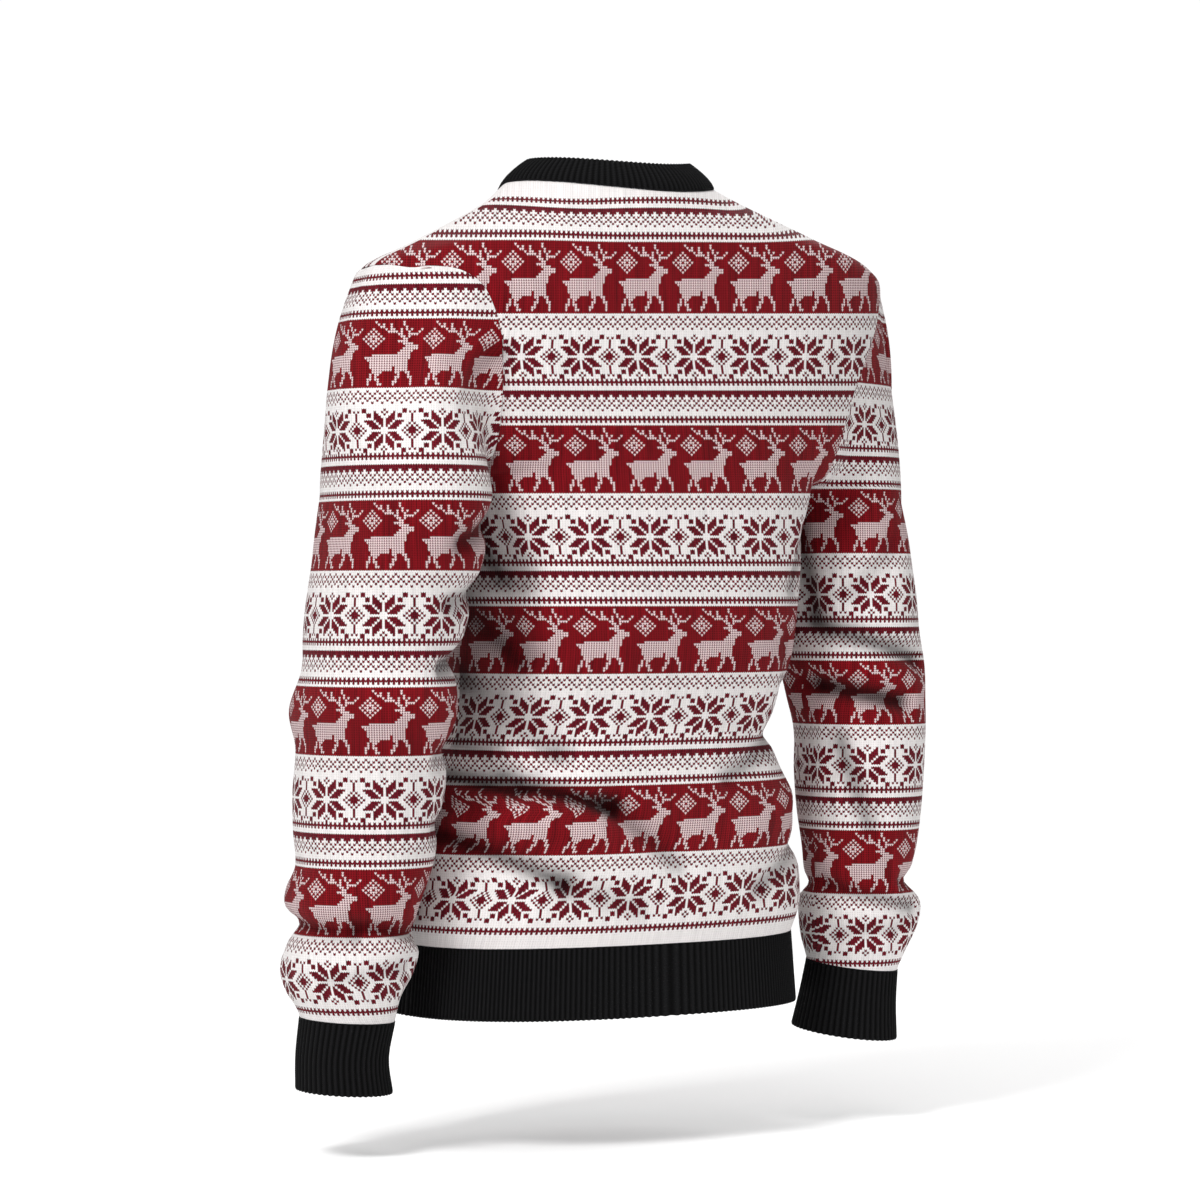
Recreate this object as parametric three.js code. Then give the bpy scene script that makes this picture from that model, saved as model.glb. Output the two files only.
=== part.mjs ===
// Knitted pullover with a round neck, worn shape with no wearer in it.
// Millimetres, +Z up. The wearer faces -Y and the wearer's left is +X.
// Origin: middle of the neck opening, level with the top ends of the shoulder seams.
import * as THREE from "three";

const WALL = 2.2;
const SEAM_GAP = 0.34;
const RIB_HEIGHT = 0.9;

const NECK_ROW = 0;
const TIP_ROW = 5;
const UNDERARM_ROW = 18;
const HEM_ROW = 33;
const BACK_COLUMNS = 26;
const FRONT_COLUMNS = 20;
const CAP_ROWS = 5;

const HEM_RIBS = 100;
const COLLAR_RIBS = 52;
const CUFF_RIBS = 34;

const WHITE_YARN = 0xe9dfdd;
const RED_YARN = 0x8c1a22;
const BLACK_YARN = 0x1b1a1c;

// Rings of the body, neck to hem seam. Heights are taken at the two sides, the back and
// the front. Below the shoulder tips the sides run inside the sleeves down to the underarm.
const BODY = [
  { row: 0, leftZ: 4, rightZ: 7, backZ: -5, frontZ: -65, half: 95.5, back: 83, front: 83, x: -8, y: -20, round: 2 },
  { row: 1, leftZ: -15, rightZ: -5, backZ: -15, frontZ: -74, half: 121, back: 85, front: 93, x: -8, y: -14, round: 2 },
  { row: 3, leftZ: -51, rightZ: -38, backZ: -29, frontZ: -92, half: 196, back: 86, front: 112, x: -10, y: -2, round: 2.1 },
  { row: 5, leftZ: -74, rightZ: -64, backZ: -45, frontZ: -106, half: 245, back: 91, front: 121, x: -13, y: 5, round: 2.3 },
  { row: 8, leftZ: -112, rightZ: -104, backZ: -96, frontZ: -146, half: 247, back: 101, front: 124, x: -14, y: 5, round: 2.45 },
  { row: 11, leftZ: -160, rightZ: -160, backZ: -138, frontZ: -178, half: 236, back: 106, front: 124, x: -14, y: 5, round: 2.5 },
  { row: 14, leftZ: -206, rightZ: -206, backZ: -180, frontZ: -208, half: 208, back: 108, front: 122, x: -14, y: 5, round: 2.5 },
  { row: 16, leftZ: -232, rightZ: -232, backZ: -208, frontZ: -228, half: 186, back: 108, front: 120, x: -13, y: 6, round: 2.5 },
  { row: 18, leftZ: -246, rightZ: -250, backZ: -236, frontZ: -248, half: 170, back: 108, front: 118, x: -12, y: 6, round: 2.5 },
  { row: 19, leftZ: -262, rightZ: -264, backZ: -262, frontZ: -266, half: 167, back: 108, front: 118, x: -12, y: 6, round: 2.5 },
  { row: 22, leftZ: -346, rightZ: -346, backZ: -346, frontZ: -346, half: 156, back: 106, front: 118, x: -9, y: 6, round: 2.5 },
  { row: 24, leftZ: -402, rightZ: -402, backZ: -402, frontZ: -402, half: 154.5, back: 104, front: 120, x: -6, y: 1, round: 2.5 },
  { row: 26, leftZ: -452, rightZ: -452, backZ: -452, frontZ: -452, half: 147, back: 102, front: 122, x: -2, y: -9, round: 2.4 },
  { row: 27, leftZ: -476, rightZ: -476, backZ: -476, frontZ: -476, half: 155, back: 105, front: 122, x: -1, y: -14, round: 2.4 },
  { row: 28, leftZ: -500, rightZ: -500, backZ: -500, frontZ: -500, half: 168, back: 112, front: 124, x: 0, y: -18, round: 2.4 },
  { row: 30, leftZ: -548, rightZ: -548, backZ: -548, frontZ: -548, half: 180, back: 120, front: 126, x: 0, y: -25, round: 2.5 },
  { row: 32, leftZ: -606, rightZ: -602, backZ: -604, frontZ: -604, half: 187, back: 123, front: 127, x: 0, y: -28, round: 2.5 },
  { row: 33, leftZ: -631, rightZ: -629, backZ: -630, frontZ: -630, half: 178, back: 119, front: 122, x: 0, y: -28, round: 2.5 },
];

// Armhole seams on the body, shoulder tip to underarm, one row of the body grid each.
const ARMHOLE = [
  { row: 6, leftX: 222, leftZ: -78, rightX: -256, rightZ: -71, frontDrop: 5 },
  { row: 7, leftX: 209, leftZ: -77, rightX: -250, rightZ: -82, frontDrop: 12 },
  { row: 8, leftX: 191, leftZ: -80, rightX: -242, rightZ: -96, frontDrop: 18 },
  { row: 9, leftX: 176, leftZ: -91, rightX: -232, rightZ: -112, frontDrop: 20 },
  { row: 10, leftX: 167, leftZ: -109, rightX: -220, rightZ: -130, frontDrop: 18 },
  { row: 11, leftX: 161, leftZ: -132, rightX: -207, rightZ: -149, frontDrop: 15 },
  { row: 12, leftX: 158, leftZ: -156, rightX: -197, rightZ: -168, frontDrop: 12 },
  { row: 13, leftX: 157, leftZ: -180, rightX: -190, rightZ: -187, frontDrop: 9 },
  { row: 14, leftX: 157, leftZ: -202, rightX: -186, rightZ: -206, frontDrop: 6 },
  { row: 15, leftX: 157, leftZ: -221, rightX: -183, rightZ: -222, frontDrop: 3 },
  { row: 16, leftX: 157.5, leftZ: -235, rightX: -181, rightZ: -237, frontDrop: 1 },
  { row: 17, leftX: 158, leftZ: -243, rightX: -181, rightZ: -246, frontDrop: 0 },
];

// Rings of the sleeves below the underarm, down to the cuff seams.
const LEFT_SLEEVE = [
  { z: -262, x: 223, y: 40, out: 63, deep: 86 },
  { z: -290, x: 226, y: 39, out: 64, deep: 86 },
  { z: -318, x: 228, y: 34, out: 64, deep: 82 },
  { z: -346, x: 231, y: 28, out: 64, deep: 77 },
  { z: -374, x: 235, y: 25, out: 62, deep: 74 },
  { z: -402, x: 238, y: 23, out: 60, deep: 70 },
  { z: -435, x: 243, y: 22, out: 64, deep: 79 },
  { z: -465, x: 241, y: 17, out: 60, deep: 70 },
  { z: -500, x: 240, y: 10, out: 60, deep: 67 },
  { z: -532, x: 240, y: 6, out: 58, deep: 64 },
  { z: -562, x: 240, y: 2, out: 54, deep: 61 },
  { z: -580, x: 246, y: -1, out: 55, deep: 61 },
  { z: -596, x: 248, y: -4, out: 53, deep: 58 },
  { z: -611, x: 244, y: -5, out: 48, deep: 51 },
  { z: -626, x: 245, y: -6, out: 53, deep: 57 },
  { z: -647, x: 250, y: -9, out: 53, deep: 58 },
  { z: -666, x: 251, y: -12, out: 46, deep: 49 },
  { z: -680, x: 247, y: -14, out: 40, deep: 43 },
  { z: -687, x: 246, y: -15, out: 38, deep: 41 },
];
const RIGHT_SLEEVE = [
  { z: -262, x: -240, y: -18, out: 57, deep: 78 },
  { z: -290, x: -239, y: -10, out: 60, deep: 78 },
  { z: -318, x: -239, y: -3, out: 61, deep: 76 },
  { z: -346, x: -238, y: 5, out: 62, deep: 74 },
  { z: -374, x: -238, y: 11, out: 61, deep: 72 },
  { z: -402, x: -240, y: 18, out: 60, deep: 70 },
  { z: -430, x: -240, y: 23, out: 58, deep: 67 },
  { z: -458, x: -242, y: 27, out: 55, deep: 62 },
  { z: -495, x: -242, y: 26, out: 54, deep: 61 },
  { z: -528, x: -242, y: 26, out: 52, deep: 58 },
  { z: -558, x: -243, y: 25, out: 48, deep: 54 },
  { z: -576, x: -243, y: 23, out: 46, deep: 50 },
  { z: -588, x: -243, y: 21, out: 45, deep: 49 },
  { z: -608, x: -247, y: 20, out: 51, deep: 57 },
  { z: -626, x: -247, y: 18, out: 50, deep: 55 },
  { z: -644, x: -245, y: 15, out: 45, deep: 49 },
  { z: -656, x: -245, y: 13, out: 41, deep: 44 },
  { z: -664, x: -245, y: 12, out: 38.5, deep: 41.5 },
];
const LEFT_CUFF = [
  { z: -687.4, x: 246, y: -15, out: 37.5, deep: 40.5 },
  { z: -718, x: 249, y: -18, out: 36.5, deep: 39 },
  { z: -746, x: 246, y: -20, out: 38.5, deep: 40 },
];
const RIGHT_CUFF = [
  { z: -664.4, x: -245, y: 12, out: 38, deep: 41 },
  { z: -692, x: -242, y: 10, out: 39.5, deep: 44 },
  { z: -723, x: -240, y: 7, out: 43, deep: 49 },
];
// Slope of the last sleeve rings and of the cuff, rise per millimetre along X and Y.
const LEFT_TILT = { x: 0.04, y: -0.03, from: -600, to: -687 };
const RIGHT_TILT = { x: 0.08, y: -0.09, from: -590, to: -664 };

// Soft folds of the body as lines from (x1, z1) to (x2, z2), hollow where depth is negative.
const BODY_FOLDS = [
  { side: 1, x1: 150, z1: -392, x2: 80, z2: -482, wide: 17, depth: -7 },
  { side: 1, x1: 152, z1: -448, x2: 124, z2: -492, wide: 15, depth: -6 },
  { side: 1, x1: 168, z1: -536, x2: 96, z2: -594, wide: 16, depth: -6 },
  { side: 1, x1: 140, z1: -512, x2: 40, z2: -530, wide: 15, depth: -4 },
  { side: 1, x1: 40, z1: -530, x2: -20, z2: -575, wide: 14, depth: -3 },
  { side: 1, x1: 156, z1: -422, x2: 108, z2: -468, wide: 13, depth: 3 },
  { side: 1, x1: 165, z1: -500, x2: 70, z2: -556, wide: 18, depth: 4 },
  { side: 1, x1: -150, z1: -462, x2: -60, z2: -505, wide: 18, depth: -4 },
  { side: 1, x1: -172, z1: -540, x2: -100, z2: -585, wide: 17, depth: -3 },
  { side: 1, x1: 168, z1: -250, x2: 120, z2: -330, wide: 16, depth: -4 },
  { side: 1, x1: -172, z1: -262, x2: -128, z2: -330, wide: 17, depth: -4 },
  { side: -1, x1: 150, z1: -400, x2: 60, z2: -470, wide: 20, depth: -6 },
  { side: -1, x1: -150, z1: -410, x2: -70, z2: -486, wide: 20, depth: -6 },
  { side: -1, x1: 165, z1: -520, x2: 60, z2: -578, wide: 20, depth: -5 },
  { side: -1, x1: -165, z1: -530, x2: -50, z2: -570, wide: 20, depth: -5 },
  { side: -1, x1: 160, z1: -256, x2: 90, z2: -200, wide: 18, depth: -4 },
  { side: -1, x1: -168, z1: -258, x2: -96, z2: -205, wide: 18, depth: -4 },
];

// Soft folds of the sleeves. Turn is degrees round the arm: 0 outside, 90 back, 180 inside.
const LEFT_FOLDS = [
  { turn1: 180, z1: -272, turn2: 105, z2: -298, wide: 12, depth: -6 },
  { turn1: 185, z1: -330, turn2: 110, z2: -346, wide: 12, depth: -5 },
  { turn1: 185, z1: -384, turn2: 120, z2: -398, wide: 12, depth: -7 },
  { turn1: 190, z1: -458, turn2: 125, z2: -470, wide: 13, depth: -3 },
  { turn1: 60, z1: -606, turn2: 160, z2: -618, wide: 9, depth: -4 },
  { turn1: -40, z1: -606, turn2: 60, z2: -616, wide: 9, depth: -4 },
  { turn1: 200, z1: -604, turn2: 300, z2: -612, wide: 9, depth: -4 },
  { turn1: 300, z1: -420, turn2: 220, z2: -400, wide: 14, depth: -5 },
  { turn1: 310, z1: -470, turn2: 230, z2: -450, wide: 14, depth: -5 },
];
const RIGHT_FOLDS = [
  { turn1: 150, z1: -372, turn2: 60, z2: -398, wide: 12, depth: -6 },
  { turn1: 165, z1: -424, turn2: 90, z2: -432, wide: 11, depth: -7 },
  { turn1: 150, z1: -470, turn2: 120, z2: -540, wide: 14, depth: -4 },
  { turn1: 170, z1: -596, turn2: 70, z2: -610, wide: 9, depth: -4 },
  { turn1: 70, z1: -592, turn2: -30, z2: -588, wide: 9, depth: -4 },
  { turn1: 200, z1: -592, turn2: 300, z2: -600, wide: 9, depth: -4 },
  { turn1: 300, z1: -405, turn2: 220, z2: -385, wide: 14, depth: -5 },
  { turn1: 310, z1: -450, turn2: 230, z2: -430, wide: 14, depth: -5 },
];

// Smooth curve through one column of a table, taken at a place along its key column.
function along(table, key, column, place) {
  const rising = table[1][key] > table[0][key];
  let index = 0;
  while (index < table.length - 2 && rising === place > table[index + 1][key]) {
    index += 1;
  }
  const slope = (k) => {
    const low = table[Math.max(k - 1, 0)];
    const high = table[Math.min(k + 1, table.length - 1)];
    return (high[column] - low[column]) / (high[key] - low[key]);
  };
  const start = table[index];
  const end = table[index + 1];
  const span = end[key] - start[key];
  const t = Math.min(Math.max((place - start[key]) / span, 0), 1);
  const t2 = t * t;
  const t3 = t2 * t;
  return (2 * t3 - 3 * t2 + 1) * start[column] + (t3 - 2 * t2 + t) * span * slope(index)
    + (3 * t2 - 2 * t3) * end[column] + (t3 - t2) * span * slope(index + 1);
}

function section(table, key, place) {
  const out = {};
  for (const column of Object.keys(table[0])) {
    out[column] = column === key ? place : along(table, key, column, place);
  }
  return out;
}

// Distance from a point to a line piece, both in a plane, with how far along it is nearest.
function toLine(px, pz, x1, z1, x2, z2) {
  const dx = x2 - x1;
  const dz = z2 - z1;
  const t = Math.min(Math.max(((px - x1) * dx + (pz - z1) * dz) / (dx * dx + dz * dz), 0), 1);
  return { gap: Math.hypot(px - x1 - t * dx, pz - z1 - t * dz), t };
}

function foldHeight(gap, wide, depth) {
  return depth * Math.exp(-((gap / wide) ** 2));
}

// Point of the body's outer face at a turn (0 left side, 90 back) and a grid row.
function bodyPoint(turn, row) {
  const ring = section(BODY, "row", row);
  const c = Math.cos(turn);
  const s = Math.sin(turn);
  const power = 2 / ring.round;
  const sideZ = c > 0 ? ring.leftZ : ring.rightZ;
  const faceZ = s > 0 ? ring.backZ : ring.frontZ;
  const x = ring.x + ring.half * Math.sign(c) * Math.abs(c) ** power;
  const y = ring.y + (s > 0 ? ring.back : ring.front) * Math.sign(s) * Math.abs(s) ** power;
  const z = faceZ + (sideZ - faceZ) * c * c;
  return new THREE.Vector3(x, y, z);
}

function bodyPush(point, side) {
  let push = 0;
  for (const fold of BODY_FOLDS) {
    if (fold.side === side) {
      const near = toLine(point.x, point.z, fold.x1, fold.z1, fold.x2, fold.z2);
      const seamEase = Math.min(Math.max((point.z + 631) / 30, 0), 1);
      push += seamEase * foldHeight(near.gap, fold.wide, fold.depth);
    }
  }
  return push;
}

function bodyNormal(turn, row) {
  const a = bodyPoint(turn + 0.02, row).sub(bodyPoint(turn - 0.02, row));
  const low = Math.max(row - 0.12, NECK_ROW);
  const high = Math.min(row + 0.12, HEM_ROW);
  const b = bodyPoint(turn, high).sub(bodyPoint(turn, low));
  return b.cross(a).normalize();
}

// Ring of one row with its sides brought to the armhole seam where there is one.
function edgeTurn(row, left) {
  if (row <= TIP_ROW || row >= UNDERARM_ROW) {
    return 0;
  }
  const ring = section(BODY, "row", row);
  const x = along(ARMHOLE, "row", left ? "leftX" : "rightX", Math.min(Math.max(row, 6), 17));
  const reach = Math.min(Math.abs(x - ring.x) / ring.half, 0.995);
  return Math.acos(reach ** (ring.round / 2));
}

function seamTurn(row, side, left) {
  const turn = Math.max(edgeTurn(row, left), 1e-6);
  return side * (left ? turn : Math.PI - turn);
}

// Lifts a body point so that its row ends at the height of the armhole seam.
function seamLift(point, row, turn) {
  if (row <= TIP_ROW || row >= UNDERARM_ROW) {
    return point;
  }
  const left = Math.cos(turn) > 0;
  const last = seamTurn(row, Math.sin(turn) > 0 ? 1 : -1, left);
  const end = bodyPoint(last, row);
  const place = Math.min(Math.max(row, 6), 17);
  const drop = Math.sin(turn) > 0 ? 0 : along(ARMHOLE, "row", "frontDrop", place);
  const seamZ = along(ARMHOLE, "row", left ? "leftZ" : "rightZ", place) - drop;
  const share = (Math.cos(turn) / Math.cos(last)) ** 2;
  point.z += (seamZ - end.z) * Math.min(share, 1);
  return point;
}

function bodyOuter(turn, row) {
  const side = Math.sin(turn) >= 0 ? 1 : -1;
  const point = seamLift(bodyPoint(turn, row), row, turn);
  const normal = bodyNormal(turn, row);
  const fade = Math.min(1, Math.abs(Math.sin(turn)) * 3);
  return point.addScaledVector(normal, fade * bodyPush(point, side));
}

// Grid of one body panel. Columns run from the left edge to the right edge.
function panelGrid(side, columns) {
  const grid = [];
  for (let row = NECK_ROW; row <= HEM_ROW; row += 1) {
    const leftTurn = edgeTurn(row, true);
    const rightTurn = Math.PI - edgeTurn(row, false);
    const line = [];
    for (let column = 0; column <= columns; column += 1) {
      const turn = leftTurn + ((rightTurn - leftTurn) * column) / columns;
      line.push(bodyOuter(side * Math.min(Math.max(turn, 1e-6), Math.PI - 1e-6), row));
    }
    grid.push(line);
  }
  return grid;
}

// Normals of a grid of points, wrapped round when the grid closes on itself.
function gridNormals(grid, wrap) {
  const rows = grid.length;
  const columns = grid[0].length;
  const normals = grid.map((line) => line.map(() => new THREE.Vector3()));
  for (let r = 0; r < rows - 1; r += 1) {
    for (let c = 0; c < (wrap ? columns : columns - 1); c += 1) {
      const d = (c + 1) % columns;
      const across = grid[r + 1][d].clone().sub(grid[r][c]);
      const back = grid[r + 1][c].clone().sub(grid[r][d]);
      const face = back.cross(across);
      for (const [i, j] of [[r, c], [r, d], [r + 1, c], [r + 1, d]]) {
        normals[i][j].add(face);
      }
    }
  }
  return normals.map((line) => line.map((normal) => normal.normalize()));
}

function offsetGrid(grid, normals, distance) {
  return grid.map((line, r) => line.map((p, c) => p.clone().addScaledVector(normals[r][c], distance)));
}

// Draws the edge points of a grid in by half the seam gap, square to the edge.
function inset(grid, wrap, amount) {
  const rows = grid.length;
  const columns = grid[0].length;
  const column = (c) => (wrap ? (c + columns) % columns : Math.min(Math.max(c, 0), columns - 1));
  const row = (r) => Math.min(Math.max(r, 0), rows - 1);
  const moved = grid.map((line) => line.map((p) => p.clone()));
  const draw = (r, c, inR, inC, alongR, alongC) => {
    const here = grid[r][c];
    const inner = new THREE.Vector3();
    for (const k of [-1, 0, 1]) {
      inner.add(grid[row(r + inR + k * alongR)][column(c + inC + k * alongC)]);
    }
    const inward = inner.multiplyScalar(1 / 3).sub(here);
    const squares = [];
    for (const k of [-1, 1]) {
      const edge = grid[row(r + k * alongR)][column(c + k * alongC)].clone().sub(here);
      if (edge.lengthSq() > 1e-9) {
        edge.normalize();
        squares.push(inward.clone().addScaledVector(edge, -inward.dot(edge)).normalize());
      }
    }
    const first = squares[0];
    const second = squares[squares.length - 1];
    const reach = amount / Math.max(1 + first.dot(second), 0.5);
    moved[r][c].addScaledVector(first, reach).addScaledVector(second, reach);
  };
  for (let c = 0; c < columns; c += 1) {
    draw(0, c, 1, 0, 0, 1);
    draw(rows - 1, c, -1, 0, 0, 1);
  }
  if (!wrap) {
    for (let r = 0; r < rows; r += 1) {
      draw(r, 0, 0, 1, 1, 0);
      draw(r, columns - 1, 0, -1, 1, 0);
    }
  }
  return moved;
}

// Closed solid between an outer and an inner grid of points.
function solidBetween(outer, inner, wrap) {
  const rows = outer.length;
  const columns = outer[0].length;
  const positions = [];
  for (const grid of [outer, inner]) {
    for (const line of grid) {
      for (const p of line) {
        positions.push(p.x, p.y, p.z);
      }
    }
  }
  const at = (layer, r, c) => layer * rows * columns + r * columns + (c % columns);
  const index = [];
  const quad = (a, b, c, d) => index.push(a, b, c, a, c, d);
  const last = wrap ? columns : columns - 1;
  for (let r = 0; r < rows - 1; r += 1) {
    for (let c = 0; c < last; c += 1) {
      quad(at(0, r, c), at(0, r + 1, c), at(0, r + 1, c + 1), at(0, r, c + 1));
      quad(at(1, r, c), at(1, r, c + 1), at(1, r + 1, c + 1), at(1, r + 1, c));
    }
  }
  for (let c = 0; c < last; c += 1) {
    quad(at(0, 0, c), at(0, 0, c + 1), at(1, 0, c + 1), at(1, 0, c));
    quad(at(0, rows - 1, c), at(1, rows - 1, c), at(1, rows - 1, c + 1), at(0, rows - 1, c + 1));
  }
  if (!wrap) {
    for (let r = 0; r < rows - 1; r += 1) {
      quad(at(0, r, 0), at(1, r, 0), at(1, r + 1, 0), at(0, r + 1, 0));
      const e = columns - 1;
      quad(at(0, r, e), at(0, r + 1, e), at(1, r + 1, e), at(1, r, e));
    }
  }
  const geometry = new THREE.BufferGeometry();
  geometry.setAttribute("position", new THREE.Float32BufferAttribute(positions, 3));
  geometry.setIndex(index);
  geometry.computeVertexNormals();
  return geometry;
}

function outward(grid, wrap, centre) {
  const normals = gridNormals(grid, wrap);
  const middle = Math.floor(grid.length / 2);
  const probe = grid[middle][0].clone().sub(centre);
  return normals[middle][0].dot(probe) > 0 ? 1 : -1;
}

function level(normal) {
  return new THREE.Vector3(normal.x, normal.y, 0).normalize();
}

// Makes the solid, with the winding turned round when it faces in. The edges of two pieces
// that meet are thickened the same way, so the walls don't cross at the seam.
function shell(grid, wrap, centre, edgeNormal) {
  const facing = outward(grid, wrap, centre);
  const flip = (lines) => (facing > 0 ? lines : lines.map((line) => [...line].reverse()));
  const ordered = flip(grid);
  const drawn = inset(ordered, wrap, SEAM_GAP / 2);
  const own = flip(gridNormals(ordered, wrap));
  const normals = flip(own.map((line, r) => line.map((normal, c) => edgeNormal(r, c, normal))));
  return solidBetween(drawn, offsetGrid(drawn, normals, -WALL), wrap);
}

function panel(side, columns) {
  return shell(panelGrid(side, columns), false, new THREE.Vector3(side, 0, -300), (row, column, own) => {
    const normal = row === NECK_ROW || row === HEM_ROW ? level(own) : own;
    if (column > 0 && column < columns) {
      return normal;
    }
    const joint = bodyNormal(seamTurn(row, side, column === 0), row);
    if (row <= TIP_ROW || row >= UNDERARM_ROW) {
      joint.setY(0);
    }
    return row === NECK_ROW || row === HEM_ROW ? level(joint) : joint.normalize();
  });
}

// Armhole seam as a closed line: shoulder tip, down the back, underarm, up the front.
function armholeLine(left) {
  const stops = [];
  for (let row = TIP_ROW; row <= UNDERARM_ROW; row += 1) {
    stops.push({ row, turn: seamTurn(row, 1, left) });
  }
  for (let row = UNDERARM_ROW - 1; row > TIP_ROW; row -= 1) {
    stops.push({ row, turn: seamTurn(row, -1, left) });
  }
  return {
    points: stops.map(({ row, turn }) => bodyOuter(turn, row)),
    normals: stops.map(({ row, turn }) => bodyNormal(turn, row)),
  };
}

// Turn round the arm for each point of the armhole line, by its share of the seam's length.
function seamTurns(points) {
  const half = UNDERARM_ROW - TIP_ROW;
  const lengths = points.map((p, k) => p.distanceTo(points[(k + 1) % points.length]));
  const sum = (from, to) => lengths.slice(from, to).reduce((total, value) => total + value, 0);
  const backLength = sum(0, half);
  const frontLength = sum(half, points.length);
  return points.map((p, k) => {
    if (k <= half) {
      return (Math.PI * sum(0, k)) / backLength;
    }
    return Math.PI * (1 + sum(half, k) / frontLength);
  });
}

function sleevePoint(table, folds, tilt, side, turn, z) {
  const ring = section(table, "z", z);
  const slope = Math.min(Math.max((z - tilt.from) / (tilt.to - tilt.from), 0), 1);
  const degrees = (turn * 180) / Math.PI;
  let push = 0;
  for (const fold of folds) {
    for (const lap of [-360, 0, 360]) {
      const scale = 1.1;
      const near = toLine((degrees + lap) * scale, z, fold.turn1 * scale, fold.z1, fold.turn2 * scale, fold.z2);
      push += foldHeight(near.gap, fold.wide, fold.depth);
    }
  }
  const ease = Math.min(1, (z - table[table.length - 1].z) / 24);
  push *= ease;
  const dx = side * Math.cos(turn) * (ring.out + push);
  const dy = Math.sin(turn) * (ring.deep + push);
  return new THREE.Vector3(ring.x + dx, ring.y + dy, z + slope * (tilt.x * dx + tilt.y * dy));
}

// How far a point of the armhole seam belongs to the underarm.
function underarmShare(point) {
  return Math.min(Math.max((-point.z - 205) / 40, 0), 1);
}

// The sleeve runs from its armhole seam through a rounded cap to the first ring, then down.
function sleeveGrid(table, folds, tilt, side) {
  const { points: seam, normals } = armholeLine(side > 0);
  const turns = seamTurns(seam);
  const count = seam.length;
  const rings = [];
  const first = turns.map((turn) => sleevePoint(table, folds, tilt, side, turn, table[0].z));
  const starts = seam.map((p, k) => {
    const edge = seam[(k + 1) % count].clone().sub(seam[(k + count - 1) % count]).normalize();
    const leave = edge.cross(normals[k]).multiplyScalar(side);
    return leave.lerp(new THREE.Vector3(side, 0, -0.3), underarmShare(p)).normalize();
  });
  for (let row = 0; row <= CAP_ROWS; row += 1) {
    const t = row / CAP_ROWS;
    const line = seam.map((p, k) => {
      const q = first[k];
      const reach = p.distanceTo(q);
      const t2 = t * t;
      const t3 = t2 * t;
      const point = p.clone().multiplyScalar(2 * t3 - 3 * t2 + 1);
      point.addScaledVector(starts[k], (t3 - 2 * t2 + t) * reach);
      point.addScaledVector(q, 3 * t2 - 2 * t3);
      return point.add(new THREE.Vector3(0, 0, -(t3 - t2) * reach));
    });
    rings.push(line);
  }
  for (const ring of table.slice(1)) {
    rings.push(turns.map((turn) => sleevePoint(table, folds, tilt, side, turn, ring.z)));
  }
  return rings;
}

function sleeve(table, folds, tilt, side) {
  const grid = sleeveGrid(table, folds, tilt, side);
  const ring = table[Math.floor(table.length / 2)];
  const seam = armholeLine(side > 0);
  return shell(grid, true, new THREE.Vector3(ring.x, ring.y, ring.z), (row, column, own) => {
    if (row === grid.length - 1) {
      return level(own);
    }
    if (row > 0) {
      return own;
    }
    return seam.normals[column].clone().lerp(own, underarmShare(seam.points[column])).normalize();
  });
}

// Band of ribs raised on the outer points of a plain ring.
function ribbedBand(ribs, levels, ringPoint, centre) {
  const grid = [];
  for (let level = 0; level <= levels; level += 1) {
    const line = [];
    for (let k = 0; k < ribs * 2; k += 1) {
      line.push(ringPoint((k / (ribs * 2)) * Math.PI * 2, level / levels));
    }
    grid.push(line);
  }
  const facing = outward(grid, true, centre);
  const ordered = facing > 0 ? grid : grid.map((line) => [...line].reverse());
  const normals = gridNormals(ordered, true);
  const drawn = inset(ordered, true, SEAM_GAP / 2);
  const thick = normals.map((line, r) => (r === 0 || r === levels ? line.map(level) : line));
  const inner = offsetGrid(drawn, thick, -WALL);
  const outer = drawn.map((line, r) => line.map((p, k) => {
    return p.clone().addScaledVector(thick[r][k], k % 2 === 0 ? RIB_HEIGHT : 0);
  }));
  return solidBetween(outer, inner, true);
}

function collar() {
  const base = BODY[0];
  const rise = { half: -21, back: -19, front: -16, side: 20, backZ: 24, frontZ: 17 };
  const lift = 0.45;
  return ribbedBand(COLLAR_RIBS, 2, (turn, t) => {
    const lean = t ** 1.5;
    const c = Math.cos(turn);
    const s = Math.sin(turn);
    const depth = s > 0 ? base.back + rise.back * lean : base.front + rise.front * lean;
    const faceZ = s > 0 ? base.backZ + rise.backZ * t : base.frontZ + rise.frontZ * t;
    const sideZ = (c > 0 ? base.leftZ : base.rightZ) + rise.side * t;
    const x = base.x + (base.half + rise.half * lean) * c;
    return new THREE.Vector3(x, base.y + depth * s, lift + faceZ + (sideZ - faceZ) * c * c);
  }, new THREE.Vector3(base.x, base.y, -10));
}

function hemBand() {
  const seam = BODY[BODY.length - 1];
  const low = { half: 183, back: 121, front: 124, z: -689 };
  const power = 2 / seam.round;
  return ribbedBand(HEM_RIBS, 1, (turn, t) => {
    const c = Math.cos(turn);
    const s = Math.sin(turn);
    const half = seam.half - 0.6 + (low.half - seam.half) * t;
    const topDepth = s > 0 ? seam.back : seam.front;
    const lowDepth = s > 0 ? low.back : low.front;
    const depth = topDepth - 0.6 + (lowDepth - topDepth) * t;
    const sideZ = c > 0 ? seam.leftZ : seam.rightZ;
    const topZ = seam.backZ + (sideZ - seam.backZ) * c * c;
    const x = seam.x + half * Math.sign(c) * Math.abs(c) ** power;
    const y = seam.y + depth * Math.sign(s) * Math.abs(s) ** power;
    return new THREE.Vector3(x, y, topZ + (low.z - topZ) * t);
  }, new THREE.Vector3(seam.x, seam.y, -660));
}

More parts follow.
